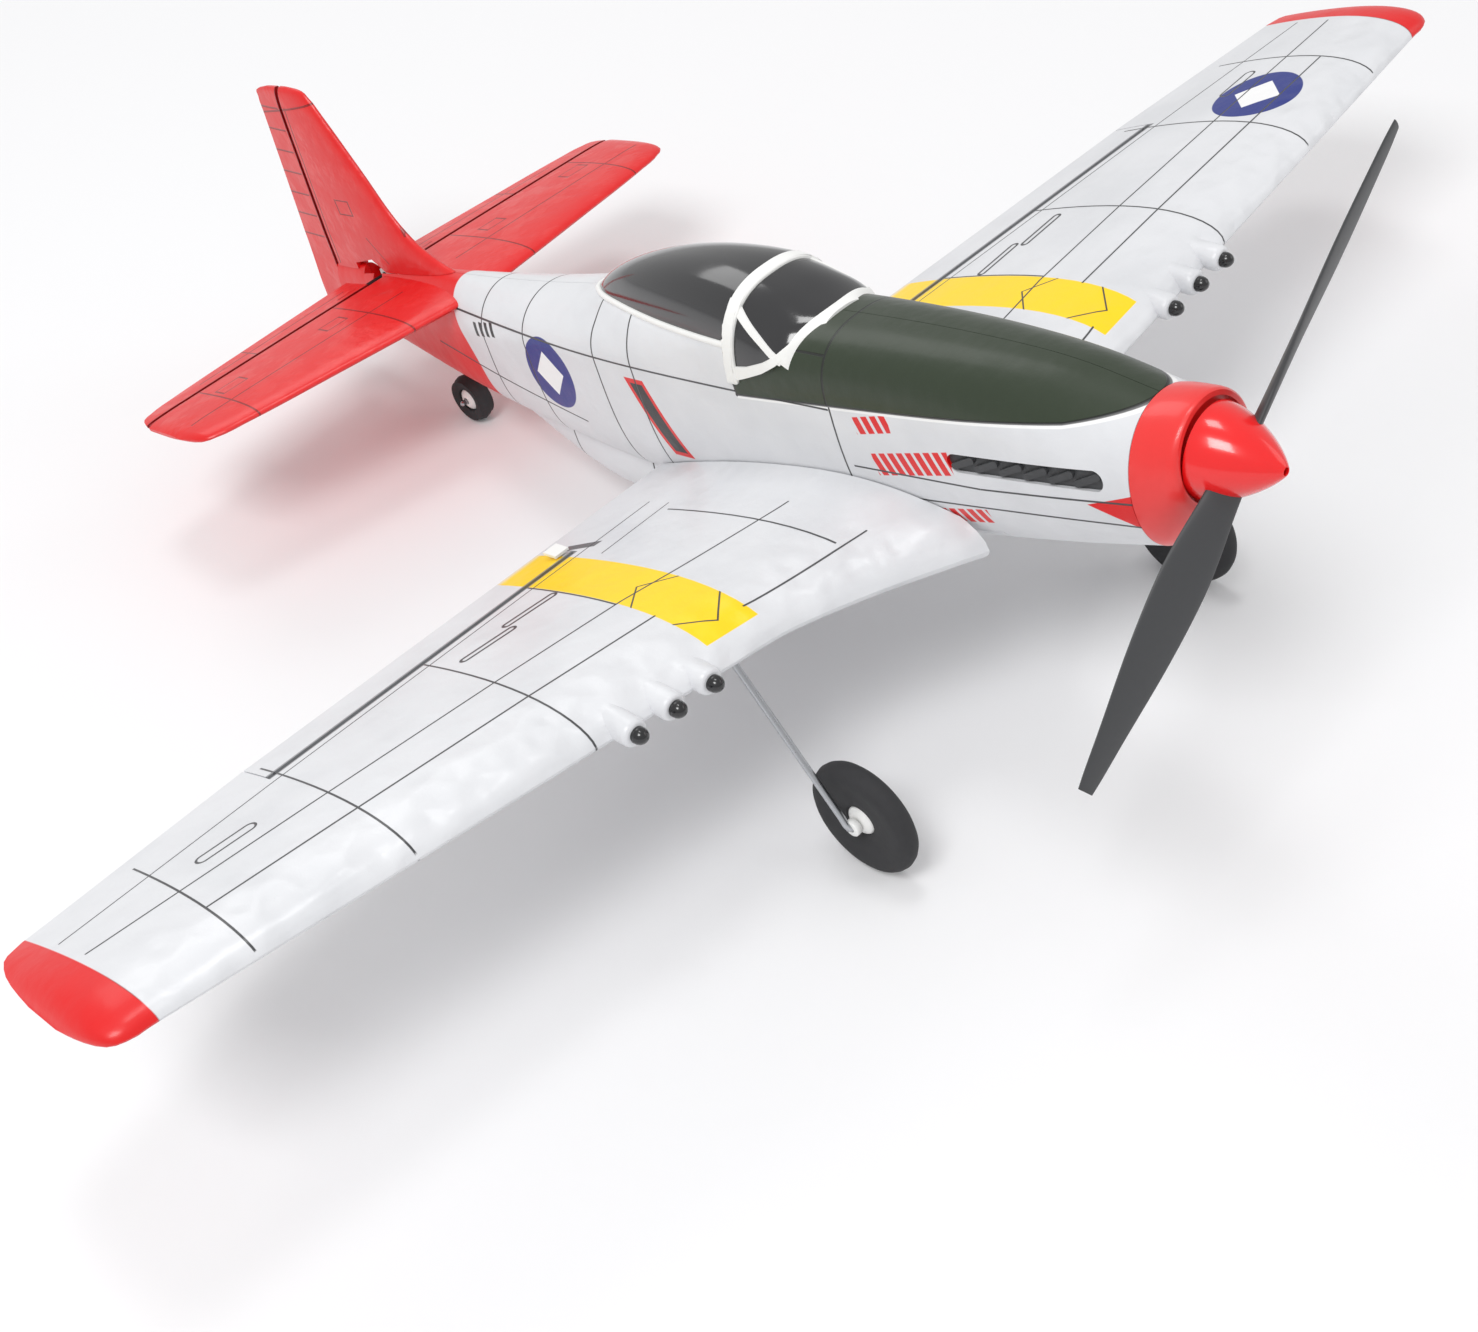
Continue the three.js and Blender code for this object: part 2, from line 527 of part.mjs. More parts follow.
// Tailplane and elevators: edges at a distance out, rounded at the tips.
const tailRows = smoothTable([
  [0, 85.8, 140.3, 2.2],
  [15, 88.4, 139.5, 2.2],
  [40, 93, 137.6, 2.1],
  [66, 98, 135.4, 1.8],
  [74, 100.4, 134, 1.6],
  [77.6, 104, 131.4, 1.1],
  [stab.tipX, 111, 126, 0.3],
]);

function tailBody(outward = [0, 15, 28, 45, 60, 70, 75, 77.6, stab.tipX], grow = 0) {
  const rings = [...outward.slice(1).reverse().map((x) => -x), ...outward].map((x) => {
    const [front, back, half] = tailRows(Math.abs(x));
    const depth = (half + grow * 1.5) / (back - front);
    return aerofoilRing(x, front - grow * 1.5, back, stab.z, depth, depth, 0.3 + grow, 1);
  });
  return loft(rings);
}

const joiner = { y: elevator.hingeY + 2.7, radius: 0.8, reach: 16 };
const elevatorRod = { x: 1.4, z: -8 };

function buildTailplane() {
  const whole = tailBody();
  const front = elevator.hingeY - elevator.hingeGap * 0.6;
  const back = elevator.hingeY + elevator.hingeGap * 0.4;
  const hornNotch = boxAt(-2.3, 2.3, 119, 140, -20, 20);
  add("tailplane", whole.intersect(boxAt(-90, 90, 60, front, -20, 20)).subtract(hornNotch), redFoam);
  const joinerRod = (grow) =>
    rod([-joiner.reach - grow, joiner.y, stab.z], [joiner.reach + grow, joiner.y, stab.z], joiner.radius + grow);
  for (const [word, x0, x1] of [["left", elevator.innerX, 90], ["right", -90, -elevator.innerX]]) {
    add(`elevator_${word}`, whole.intersect(boxAt(x0, x1, back, 150, -20, 20)).subtract(joinerRod(gap)), redFoam);
  }
  add("elevator_joiner", joinerRod(0), carbon);
  const horn = boxAt(-0.6, 0.6, elevator.hingeY - 1, elevator.hingeY + 4.4, elevatorRod.z - 1.2, stab.z + 1.6);
  add("elevator_horn", horn.subtract(joinerRod(gap)), whitePlastic);
  return joinerRod;
}

// Fin and rudder: edges at a height.
const finRows = smoothTable([
  [-14, 96, 166.6, 1.2],
  [-12.6, 96, 168.2, 1.6],
  [-9, 96, 168.3, 2],
  [3, 93, 166, 2.3],
  [6, 100, 165.4, 2.3],
  [9.5, 107, 164.8, 2.3],
  [15, 113, 163.7, 2.2],
  [30, 121.4, 160.8, 2],
  [44.5, 129.4, 158, 1.7],
  [49.4, 132.4, 157, 1.4],
  [51.6, 135.6, 155, 0.8],
  [52.2, 140, 150.5, 0.3],
]);
const rudderHingeY = (z) => {
  const { top, foot } = rudderHinge;
  return foot[0] + ((z - foot[1]) * (top[0] - foot[0])) / (top[1] - foot[1]);
};

function finWhole() {
  const rings = [-14, -12.6, -9, -3, 3, 6, 9.5, 15, 22, 30, 38, 44.5, 49.4, 51.6, 52.2].map((height) => {
    const [front, back, half] = finRows(height);
    const depth = half / (back - front);
    return aerofoilRing(0, front, back, 0, depth, depth, 0.3, 1)
      .map((point) => new THREE.Vector3(point.z, point.y, height));
  });
  return loft(rings);
}

function buildFin() {
  const whole = finWhole();
  const side = (lead, from, z0, z1) => {
    const outline = [[rudderHingeY(z0) + lead, z0], [from, z0], [from, z1], [rudderHingeY(z1) + lead, z1]];
    return solid(plate(outline, 40).rotateX(Math.PI / 2).rotateZ(Math.PI / 2).translate(-20, 0, 0));
  };
  const ahead = side(-rudderHinge.hingeGap * 0.6, 60, -2, 70);
  const aft = side(rudderHinge.hingeGap * 0.4, 190, -30, 70);
  add("fin", whole.intersect(ahead).subtract(fuselageBody(noseY, tailY, -gap - 0.1, 18, 24)), redFoam);
  const hornArm = boxAt(-2.6, 7.4, 156, 158.2, -8.2, -7.2).add(boxAt(5, 7.4, 153.4, 158.2, -8.2, -7.2));
  add("rudder_horn", hornArm, whitePlastic);
  add("rudder", whole.intersect(aft).subtract(boxAt(-9, 9, 156 - gap, 158.2 + gap, -8.2 - gap, -7.2 + gap)), redFoam);
}

// Rudder and elevator servos, their arms and rods inside the fuselage.
const tailServos = {
  elevator: { side: 1, face: -1.8, y: 36, pivotZ: -3.5, arm: 4.5 },
  rudder: { side: -1, face: 4, y: 16, pivotZ: -13.5, arm: 4.5 },
};
const rudderRod = { from: [0.8, 19.4, -18], to: [6.3, 154.2, -9] };

function buildTailServo(word, { side, face, y, pivotZ, arm }) {
  const from = Math.min(face, face - side * servoSize.x);
  const box = boxAt(from, from + servoSize.x, y - servoSize.y / 2, y + servoSize.y / 2, pivotZ - 8.5, pivotZ + 2.5);
  const pivotY = y + 4;
  const shaft = rod([face - side, pivotY, pivotZ], [face + side * 0.9, pivotY, pivotZ], 1.3);
  add(`${word}_servo`, box.add(shaft), blackPlastic);
  const near = face + side * (0.9 + gap);
  const far = near + side * 1.2;
  const boss = rod([near, pivotY, pivotZ], [far, pivotY, pivotZ], 1.8);
  const leg = boxAt(Math.min(near, far), Math.max(near, far), pivotY - 1, pivotY + 1, pivotZ - arm - 1, pivotZ);
  add(`${word}_arm`, boss.add(leg), whitePlastic);
}

function buildTailControls() {
  for (const [word, place] of Object.entries(tailServos)) buildTailServo(word, place);
  const { x, z } = elevatorRod;
  const rodFrom = tailServos.elevator.y + 3.2;
  add("elevator_pushrod", rod([x, rodFrom, z], [x, elevator.hingeY + 0.8, z], rodRadius), steel);
  add("rudder_pushrod", rod(rudderRod.from, rudderRod.to, rodRadius), steel);
}

// Undercarriage.
function buildWheel(word, { x, y, z, radius, width }, hubRadius) {
  const half = width / 2;
  const tyre = [
    [hubRadius + gap, -half * 0.55], [radius * 0.62, -half * 0.7], [radius * 0.82, -half], [radius - 0.7, -half * 0.72],
    [radius, -half * 0.28], [radius, half * 0.28], [radius - 0.7, half * 0.72], [radius * 0.82, half],
    [radius * 0.62, half * 0.7], [hubRadius + gap, half * 0.55], [hubRadius + gap, -half * 0.55],
  ];
  const flatDown = lean + Math.PI / tyreSides;
  add(`${word}_tyre`, turnedOnX(tyre, x, y, z, tyreSides, flatDown), rubberFoam);
  const bore = wireRadius + gap;
  const hub = [[bore, -half * 0.9], [hubRadius * 0.6, -half * 0.9], [hubRadius, -half * 0.5], [hubRadius, half * 0.5],
    [hubRadius * 0.6, half * 0.9], [bore, half * 0.9], [bore, -half * 0.9]];
  add(`${word}_hub`, turnedOnX(hub, x, y, z, 12), whitePlastic);
}

// A wire bent through points.
function wire(points, radius) {
  return points.slice(1).reduce((made, point, i) => {
    const knuckle = solid(new THREE.SphereGeometry(radius, 8, 5).translate(...points[i + 1]));
    const run = rod(points[i], point, radius);
    return (made ? made.add(run) : run).add(knuckle);
  }, null);
}

function buildGear() {
  for (const [side, word] of [[1, "left"], [-1, "right"]]) {
    const { x, y, z, width } = mainWheel;
    const outer = x + width / 2 + 2.2;
    const inner = x - width / 2 - 1.6;
    const top = [side * 60, -55.5, wingLine(60) - 2.2];
    const leg = wire([top, [side * outer, y, z], [side * inner, y, z]], wireRadius);
    add(`gear_wire_${word}`, leg, steel);
    const slot = wire([top, [side * outer, y, z]], wireRadius + gap);
    add(`gear_block_${word}`, gearBlock(side, 0).subtract(slot), whitePlastic);
    buildWheel(`wheel_${word}`, { ...mainWheel, x: side * x }, 3.4);
  }
  const { y, z, width } = tailWheel;
  const outer = width / 2 + 1.9;
  add("tail_wheel_wire", wire([[outer, y - 2, -19], [outer, y, z], [-width / 2 - 1, y, z]], wireRadius), steel);
  buildWheel("tail_wheel", { ...tailWheel, x: 0 }, 3);
  return wire([[outer, y - 2, -19 + gap], [outer, y, z]], wireRadius + gap);
}

// Battery, its hatch in the belly, and the receiver board.
const bay = { halfX: 9, y0: -86, y1: -45.5 };

function buildElectrics() {
  const rounded = new THREE.Shape([[-8, -3], [-7, -3.8], [7, -3.8], [8, -3], [8, 3], [7, 3.8], [-7, 3.8], [-8, 3]]
    .map(([u, v]) => new THREE.Vector2(u, v)));
  const pack = new THREE.ExtrudeGeometry(rounded, { depth: 38, bevelEnabled: false });
  add("battery", solid(pack.rotateX(Math.PI / 2).translate(0, -46.5, -20.4)), batteryWrap);
  const skin = fuselageBody(noseY, tailY, 0).subtract(fuselageBody(noseY + 1.5, 128, foamWall, 10, 16));
  const { halfX, y0, y1 } = bay;
  const hatch = skin.intersect(boxAt(-halfX, halfX, y0, y1, -50, -27));
  add("battery_hatch", hatch, silverFoam);
  const board = boxAt(-9, 9, -22, 6, -12, -10.8);
  const socket = boxAt(-7, -2, -20, -14, -11, -6);
  const antennaChip = boxAt(2, 7, -4, 3, -11, -8.6);
  add("receiver_board", board.add(socket).add(antennaChip), boardGreen);
  return boxAt(-halfX - gap, halfX + gap, y0 - gap, y1 + gap, -50, -27 + gap);
}

buildPropeller();
buildDrive();
buildCowlRing();
buildCanopy();
buildWing(1, "left");
buildWing(-1, "right");
add("wing_spar", rod([-spar.length / 2, spar.y, spar.z], [spar.length / 2, spar.y, spar.z], spar.radius), carbon);
const joinerRod = buildTailplane();
buildFin();
buildTailControls();
const tailWireHole = buildGear();
const hatchHole = buildElectrics();

buildFuselage([
  hatchHole,
  tailWireHole,
  rod([-30, spar.y, spar.z], [30, spar.y, spar.z], spar.radius + gap),
  tailBody([0, 15, 28], gap).intersect(boxAt(-30, 30, 60, elevator.hingeY, -20, 20)),
  joinerRod(gap + 1.4),
  boxAt(-2.3, 2.3, 119, 138, -13, 4),
  rod(rudderRod.from, rudderRod.to, rodRadius + 0.6),
  turnedOnShaft([[0, 2], [4.5, 2], [4.5, 16], [7.9, 16], [7.9, 22], [0, 22]], 24),
]);

// Lean the level airframe back and set it on its tyres, at z = 0.
airframe.rotation.x = -lean;
const hubHeight = mainWheel.z * Math.cos(lean) - mainWheel.y * Math.sin(lean);
airframe.position.z = mainWheel.radius * flatReach - hubHeight;

const group = new THREE.Group();
group.add(airframe);
const extent = new THREE.Box3().setFromObject(group, true);
airframe.position.y = -(extent.min.y + extent.max.y) / 2; // the origin is under the middle of the whole
export default group;
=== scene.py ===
# The finished look of a foam model aeroplane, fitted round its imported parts.
import json
import math
from bisect import bisect_right

import bmesh
import bpy
from mathutils import Matrix, Vector


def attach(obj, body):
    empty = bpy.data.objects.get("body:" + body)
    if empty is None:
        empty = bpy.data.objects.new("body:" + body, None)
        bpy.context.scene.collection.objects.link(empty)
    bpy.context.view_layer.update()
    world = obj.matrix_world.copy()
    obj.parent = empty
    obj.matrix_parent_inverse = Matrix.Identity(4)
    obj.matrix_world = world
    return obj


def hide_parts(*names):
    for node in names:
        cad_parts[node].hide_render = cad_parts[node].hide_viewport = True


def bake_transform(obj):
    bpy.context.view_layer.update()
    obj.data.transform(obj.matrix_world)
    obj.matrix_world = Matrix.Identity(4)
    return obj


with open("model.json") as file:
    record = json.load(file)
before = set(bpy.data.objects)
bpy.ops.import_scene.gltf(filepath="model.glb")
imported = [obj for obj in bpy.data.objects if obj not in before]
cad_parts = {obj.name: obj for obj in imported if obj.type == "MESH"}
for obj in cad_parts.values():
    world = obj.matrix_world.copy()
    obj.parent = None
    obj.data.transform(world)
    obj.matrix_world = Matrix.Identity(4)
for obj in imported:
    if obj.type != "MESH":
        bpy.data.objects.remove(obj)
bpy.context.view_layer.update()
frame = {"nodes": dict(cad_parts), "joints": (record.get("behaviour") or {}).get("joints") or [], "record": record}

# The airframe's own frame is in millimetres, level, with the nose towards -Y.
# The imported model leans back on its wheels.
joints = {joint["name"]: joint for joint in frame["joints"]}
upAxis = [-value for value in joints["battery_hatch_slide"]["axis"]]
lean = math.atan2(upAxis[1], upAxis[2])
leaned = Matrix.Rotation(-lean, 4, "X")
elevatorHingeY = 127.8
hingePlace = Vector(joints["elevator_hinge"]["pos_m"]) - leaned @ Vector((0, elevatorHingeY / 1000, 0))
hingePlace.x = 0
airToFrame = Matrix.Translation(hingePlace) @ leaned @ Matrix.Scale(0.001, 4)
mappingPlace = -(leaned.inverted() @ (hingePlace * 1000))


def toFrame(x, y, z):
    return tuple(airToFrame @ Vector((x, y, z)))


# smooth tables and section shapes, in millimetres
def smoothTable(rows):
    stations = [row[0] for row in rows]

    def at(station):
        if station <= stations[0]:
            return list(rows[0][1:])
        if station >= stations[-1]:
            return list(rows[-1][1:])
        i = bisect_right(stations, station)
        t0, t1 = stations[i - 1], stations[i]
        p, half = (station - t0) / (t1 - t0), (t1 - t0) / 2
        before, after = max(i - 2, 0), min(i + 1, len(rows) - 1)
        atStart, atEnd = i - 1 == 0, i == len(rows) - 1
        wP = -0.5 if atStart else half / (t0 - stations[before])
        wN = -0.5 if atEnd else half / (stations[after] - t1)
        rowP = rows[i] if atStart else rows[before]
        rowN = rows[i - 1] if atEnd else rows[after]
        sP = -wP * p**3 + 2 * wP * p * p - wP * p
        s0 = (1 + wP) * p**3 + (-1.5 - 2 * wP) * p * p + (-0.5 + wP) * p + 1
        s1 = (-1 - wN) * p**3 + (1.5 + wN) * p * p + 0.5 * p
        sN = wN * p**3 - wN * p * p
        mixed = zip(rowP[1:], rows[i - 1][1:], rows[i][1:], rowN[1:])
        return [sP * a + s0 * b + s1 * c + sN * d for a, b, c, d in mixed]

    return at


def steps(start, end, count):
    return [start + (end - start) * i / count for i in range(count + 1)]


def eased(value):
    t = min(max(value, 0), 1)
    return t * t * (3 - 2 * t)


def sectionRing(y, section, inset=0.0, count=88):
    half, top, bottom, middle, upper, lower = section
    ring = []
    for i in range(count):
        angle = 2 * math.pi * i / count
        c, s = math.cos(angle), math.sin(angle)
        power = 2 / (upper if s > 0 else lower)
        reach = top - inset - middle if s > 0 else middle - bottom - inset
        ring.append(((half - inset) * math.copysign(abs(c) ** power, c), y,
                     middle + reach * math.copysign(abs(s) ** power, s)))
    return ring


def loft(bm, rings, closed=True):
    loops = []
    for ring in rings:
        made = bmesh.ops.create_circle(bm, segments=len(ring), radius=1)["verts"]
        for vert, point in zip(made, ring):
            vert.co = point
        loops.append(list({edge for vert in made for edge in vert.link_edges}))
    for near, far in zip(loops, loops[1:]):
        bmesh.ops.bridge_loops(bm, edges=near + far)
    if closed:
        for end in (loops[0], loops[-1]):
            bmesh.ops.contextual_create(bm, geom=end)
    return bm


def lofted(rings):
    bm = bmesh.new()
    loft(bm, rings)
    bmesh.ops.recalc_face_normals(bm, faces=bm.faces[:])
    return bm


def turned(profile, sides=64):
    # a lathe about Y: profile points are (radius, distance along)
    bm = bmesh.new()
    verts = [bm.verts.new((r, along, 0)) for r, along in profile]
    edges = [bm.edges.new(pair) for pair in zip(verts, verts[1:])]
    bmesh.ops.spin(bm, geom=verts + edges, cent=(0, 0, 0), axis=(0, 1, 0), angle=2 * math.pi,
                   steps=sides, use_merge=True)
    bmesh.ops.remove_doubles(bm, verts=bm.verts[:], dist=0.001)
    bmesh.ops.recalc_face_normals(bm, faces=bm.faces[:])
    return bm


def aimed(bm, start, end):
    # stands a turned piece on the line from start to end
    a, b = Vector(start), Vector(end)
    turn = Vector((0, 1, 0)).rotation_difference((b - a).normalized()).to_matrix().to_4x4()
    bmesh.ops.transform(bm, matrix=Matrix.Translation(a) @ turn, verts=bm.verts[:])
    return bm


def rodBetween(start, end, radius, sides=32):
    length = (Vector(end) - Vector(start)).length
    return aimed(turned([(0, 0), (radius, 0), (radius, length), (0, length)], sides), start, end)


def tube(points, radius, sides=20):
    path = [Vector(point) for point in points]
    rings, up = [], Vector((0.13, 0.21, 0.97))
    for i, point in enumerate(path):
        ahead = (path[min(i + 1, len(path) - 1)] - path[max(i - 1, 0)]).normalized()
        side = ahead.cross(up).normalized()
        lift = side.cross(ahead)
        rings.append([tuple(point + radius * (math.cos(a) * side + math.sin(a) * lift))
                      for a in (2 * math.pi * k / sides for k in range(sides))])
    return lofted(rings)


def block(x0, x1, y0, y1, z0, z1, edge=0.0):
    bm = bmesh.new()
    bmesh.ops.create_cube(bm, size=1)
    bmesh.ops.scale(bm, vec=(x1 - x0, y1 - y0, z1 - z0), verts=bm.verts[:])
    bmesh.ops.translate(bm, vec=((x0 + x1) / 2, (y0 + y1) / 2, (z0 + z1) / 2), verts=bm.verts[:])
    if edge:
        bmesh.ops.bevel(bm, geom=bm.edges[:], offset=edge, segments=3, profile=0.5,
                        affect="EDGES", material=-1)
    return bm


def prism(outline, axis, low, high):
    # an outline pushed along X or Z; its points are (y, z) or (x, y)
    place = {"X": lambda u, v, w: (w, u, v), "Z": lambda u, v, w: (u, v, w)}[axis]
    return lofted([[place(u, v, w) for u, v in outline] for w in (low, high)])


def mirrored(bm):
    bmesh.ops.scale(bm, vec=(-1, 1, 1), verts=bm.verts[:])
    bmesh.ops.reverse_faces(bm, faces=bm.faces[:])
    return bm


def joined(*shapes):
    whole = bmesh.new()
    for shape in shapes:
        mesh = bpy.data.meshes.new("part")
        shape.to_mesh(mesh)
        shape.free()
        whole.from_mesh(mesh)
        bpy.data.meshes.remove(mesh)
    return whole


def combined(bm, *cuts):
    # each cut is (operation, shape); the shapes are used up
    helpers = []

    def helper(shape):
        mesh = bpy.data.meshes.new("helper")
        shape.to_mesh(mesh)
        shape.free()
        made = bpy.data.objects.new("helper", mesh)
        bpy.context.scene.collection.objects.link(made)
        helpers.append(made)
        return made

    base = helper(bm)
    for operation, shape in cuts:
        cutter = helper(shape)
        cutter.hide_render = True
        step = base.modifiers.new("cut", "BOOLEAN")
        step.operation, step.object, step.solver = operation, cutter, "EXACT"
    depsgraph = bpy.context.evaluated_depsgraph_get()
    made = bpy.data.meshes.new_from_object(base.evaluated_get(depsgraph))
    result = bmesh.new()
    result.from_mesh(made)
    bpy.data.meshes.remove(made)
    for used in helpers:
        mesh = used.data
        bpy.data.objects.remove(used)
        bpy.data.meshes.remove(mesh)
    bmesh.ops.remove_doubles(result, verts=result.verts[:], dist=0.002)
    return result


def keptSide(bm, point, normal):
    # cuts off what lies on the side that the normal points to, and closes the cut
    cut = bmesh.ops.bisect_plane(bm, geom=bm.verts[:] + bm.edges[:] + bm.faces[:], dist=0.0001,
                                 plane_co=point, plane_no=normal, clear_outer=True)
    edges = [item for item in cut["geom_cut"] if isinstance(item, bmesh.types.BMEdge)]
    bmesh.ops.holes_fill(bm, edges=edges, sides=0)
    return bm


def piece(name, bm, body, material, replaces=(), sharp=35):
    bmesh.ops.transform(bm, matrix=airToFrame, verts=bm.verts[:])
    mesh = bpy.data.meshes.new(name)
    bm.to_mesh(mesh)
    bm.free()
    mesh.polygons.foreach_set("use_smooth", [True] * len(mesh.polygons))
    mesh.set_sharp_from_angle(angle=math.radians(sharp))
    made = bpy.data.objects.new(name, mesh)
    bpy.context.scene.collection.objects.link(made)
    mesh.materials.append(material)
    if body:
        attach(made, body)
    if replaces:
        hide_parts(*replaces)
    return made


class Wire:
    def __init__(self, shader, socket):
        self.shader, self.socket = shader, socket

    def maths(self, operation, *values):
        return self.shader.node("Math", {"operation": operation}, values)

    def out(self, name):
        return Wire(self.shader, self.socket.node.outputs[name])

    def __add__(self, other):
        return self.maths("ADD", self, other)

    def __sub__(self, other):
        return self.maths("SUBTRACT", self, other)

    def __mul__(self, other):
        return self.maths("MULTIPLY", self, other)

    def __radd__(self, other):
        return self.maths("ADD", other, self)

    def __rsub__(self, other):
        return self.maths("SUBTRACT", other, self)

    def __rmul__(self, other):
        return self.maths("MULTIPLY", other, self)

    def __abs__(self):
        return self.maths("ABSOLUTE", self)

    def root(self):
        return self.maths("SQRT", self)

    def zigzag(self, length):
        return self.maths("PINGPONG", self, length)

    def most(self, other):
        return self.maths("MAXIMUM", self, other)

    def rise(self, low, high):
        # 0 at low, 1 at high, eased between
        return self.shader.node("MapRange", {"interpolation_type": "SMOOTHSTEP"},
                                {"Value": self, "From Min": low, "From Max": high})

    def above(self, edge, soft=0.12):
        return self.rise(edge - soft, edge + soft)

    def below(self, edge, soft=0.12):
        return 1 - self.above(edge, soft)

    def between(self, low, high, soft=0.12):
        return self.above(low, soft) * self.below(high, soft)

    def line(self, at=0.0, width=0.3):
        return 1 - abs(self - at).rise(width * 0.5, width * 0.95)


class Shader:
    def __init__(self, name, **constants):
        self.material = bpy.data.materials.new(name)
        self.material.use_nodes = True
        self.tree = self.material.node_tree
        self.tree.nodes.clear()
        self.surface = self.tree.nodes.new("ShaderNodeBsdfPrincipled")
        output = self.tree.nodes.new("ShaderNodeOutputMaterial")
        self.tree.links.new(self.surface.outputs[0], output.inputs["Surface"])
        for socket, value in constants.items():
            self.surface.inputs[socket.replace("_", " ")].default_value = value

    def node(self, kind, settings=None, inputs=(), output=0):
        made = self.tree.nodes.new("ShaderNode" + kind)
        for setting, value in (settings or {}).items():
            setattr(made, setting, value)
        pairs = inputs.items() if isinstance(inputs, dict) else enumerate(inputs)
        for key, value in pairs:
            if isinstance(value, Wire):
                self.tree.links.new(value.socket, made.inputs[key])
            else:
                made.inputs[key].default_value = value
        return Wire(self, made.outputs[output])

    def place(self):
        # airframe millimetres
        coords = self.node("TexCoord").out("Object")
        return self.node("Mapping", {"vector_type": "POINT"}, {
            "Vector": coords, "Location": mappingPlace, "Rotation": (lean, 0, 0), "Scale": (1000,) * 3})

    def axes(self):
        self.where = self.place()
        split = self.node("SeparateXYZ", None, [self.where])
        return split.out("X"), split.out("Y"), split.out("Z")

    def noise(self, scale, detail=2.0, rough=0.5):
        return self.node("TexNoise", None, {
            "Vector": self.where, "Scale": scale, "Detail": detail, "Roughness": rough})

    def cells(self, scale):
        return self.node("TexVoronoi", {"feature": "SMOOTH_F1"},
                         {"Vector": self.where, "Scale": scale, "Smoothness": 0.6})

    def paint(self, under, mask, over):
        def colour(value):
            return value if isinstance(value, Wire) else (*value, 1)
        return self.node("Mix", {"data_type": "RGBA"}, {0: mask, 6: colour(under), 7: colour(over)}, 2)

    def feed(self, name, wire):
        self.tree.links.new(wire.socket, self.surface.inputs[name])

    def bump(self, height, strength, distance):
        bumped = self.node("Bump", None, {"Strength": strength, "Distance": distance, "Height": height})
        self.feed("Normal", bumped)


def rgb(red, green, blue):
    # screen colour, 0 to 255, to linear light
    shares = (value / 255 for value in (red, green, blue))
    return tuple(v / 12.92 if v < 0.04045 else ((v + 0.055) / 1.055) ** 2.4 for v in shares)


paints = {
    "silver": rgb(222, 223, 226), "silverDark": rgb(198, 200, 204), "red": rgb(222, 10, 12),
    "redLight": rgb(230, 44, 40), "olive": rgb(40, 52, 34), "yellow": rgb(255, 214, 0),
    # the dark red line colour draws the tail's panel lines and also serves as painted shade along its hinge gaps
    "line": rgb(70, 71, 73), "redLineAndShade": rgb(110, 6, 8), "white": rgb(244, 244, 244),
    # the mid grey groove colour is painted shade along the aileron hinge gaps
    "blue": rgb(18, 40, 128), "darkGrey": rgb(30, 30, 32), "grooveShade": rgb(120, 121, 124),
}


def strongest(masks):
    whole, *rest = masks
    for mask in rest:
        whole = whole.most(mask)
    return whole


def mixOf(shader, masks, start):
    colour = start
    for mask, over in masks:
        colour = shader.paint(colour, mask, over)
    return colour


def foamFinish(shader, marks, base, grooves, crumple, foam=0.35):
    # marks: (mask, colour) pairs; grooves darken and sink; crumple is a mask of glossier dented foam
    shade = shader.noise(0.045, 3.0, 0.55)
    patches = [(shade.rise(0.35, 0.75) * 0.35, base[1]), *marks]
    shader.feed("Base Color", mixOf(shader, patches, base[0]))
    grain = shader.noise(0.9, 3.0, 0.6)
    dents = shader.noise(0.11, 2.0, 0.5)
    scales = shader.cells(0.16)
    height = dents * 0.6 + grain * 0.04 + scales * crumple * foam - grooves * 0.4
    shader.bump(height, 0.8, 0.0012)
    shader.feed("Roughness", 0.42 - crumple * 0.14 + grain * 0.06)


# fuselage: paint first, then shape
fuselageLook = {
    "frames": [75.4, 55.4, 25.0, 11.0, -52.0],  # the last one stops under the deck
    "seams": [((100, -0.5), (-52, -2.0), 0.3), ((103, -12), (40, -22), 0.28),
              ((-53.9, -15.2), (-88.3, -14.1), 0.28), ((-88.3, -14.1), (-125, -10.3), 0.28),
              ((-55.4, -22.2), (-125.5, -15.6), 0.28)],
    "deckBack": -24.7,
    "deck": [(-24.6, -2.6), (-51.5, -1.1), (-88, 1.2), (-111, 2.9), (-125, 5.2)],
    "roundel": (47.6, -9.9, 9.6),
    "dashes": [(78.4, -3.9), (75.6, -3.5), (72.9, -3.1), (70.2, -2.7)],
    "rows": [[-58.5, -4.6, 10, 4], [-60.5, -13.6, 22, 5.5], [-73.6, -24.4, 13.5, 4]],
}


def alongSide(y, points):
    # height of a broken line over the stations, as shader maths
    height = None
    for (y0, z0), (y1, z1) in zip(points, points[1:]):
        part = y.shader.node("MapRange", {"clamp": True}, {
            "Value": y, "From Min": y0, "From Max": y1, "To Min": 0.0, "To Max": z1 - z0})
        height = part + z0 if height is None else height + part
    return height


def band(y, z, start, end, width):
    # a straight painted line on the side, from start to end
    (y0, z0), (y1, z1) = start, end
    slope = (z1 - z0) / (y1 - y0)
    away = z - (y - y0) * slope - z0
    return away.line(0, width) * y.between(min(y0, y1), max(y0, y1))


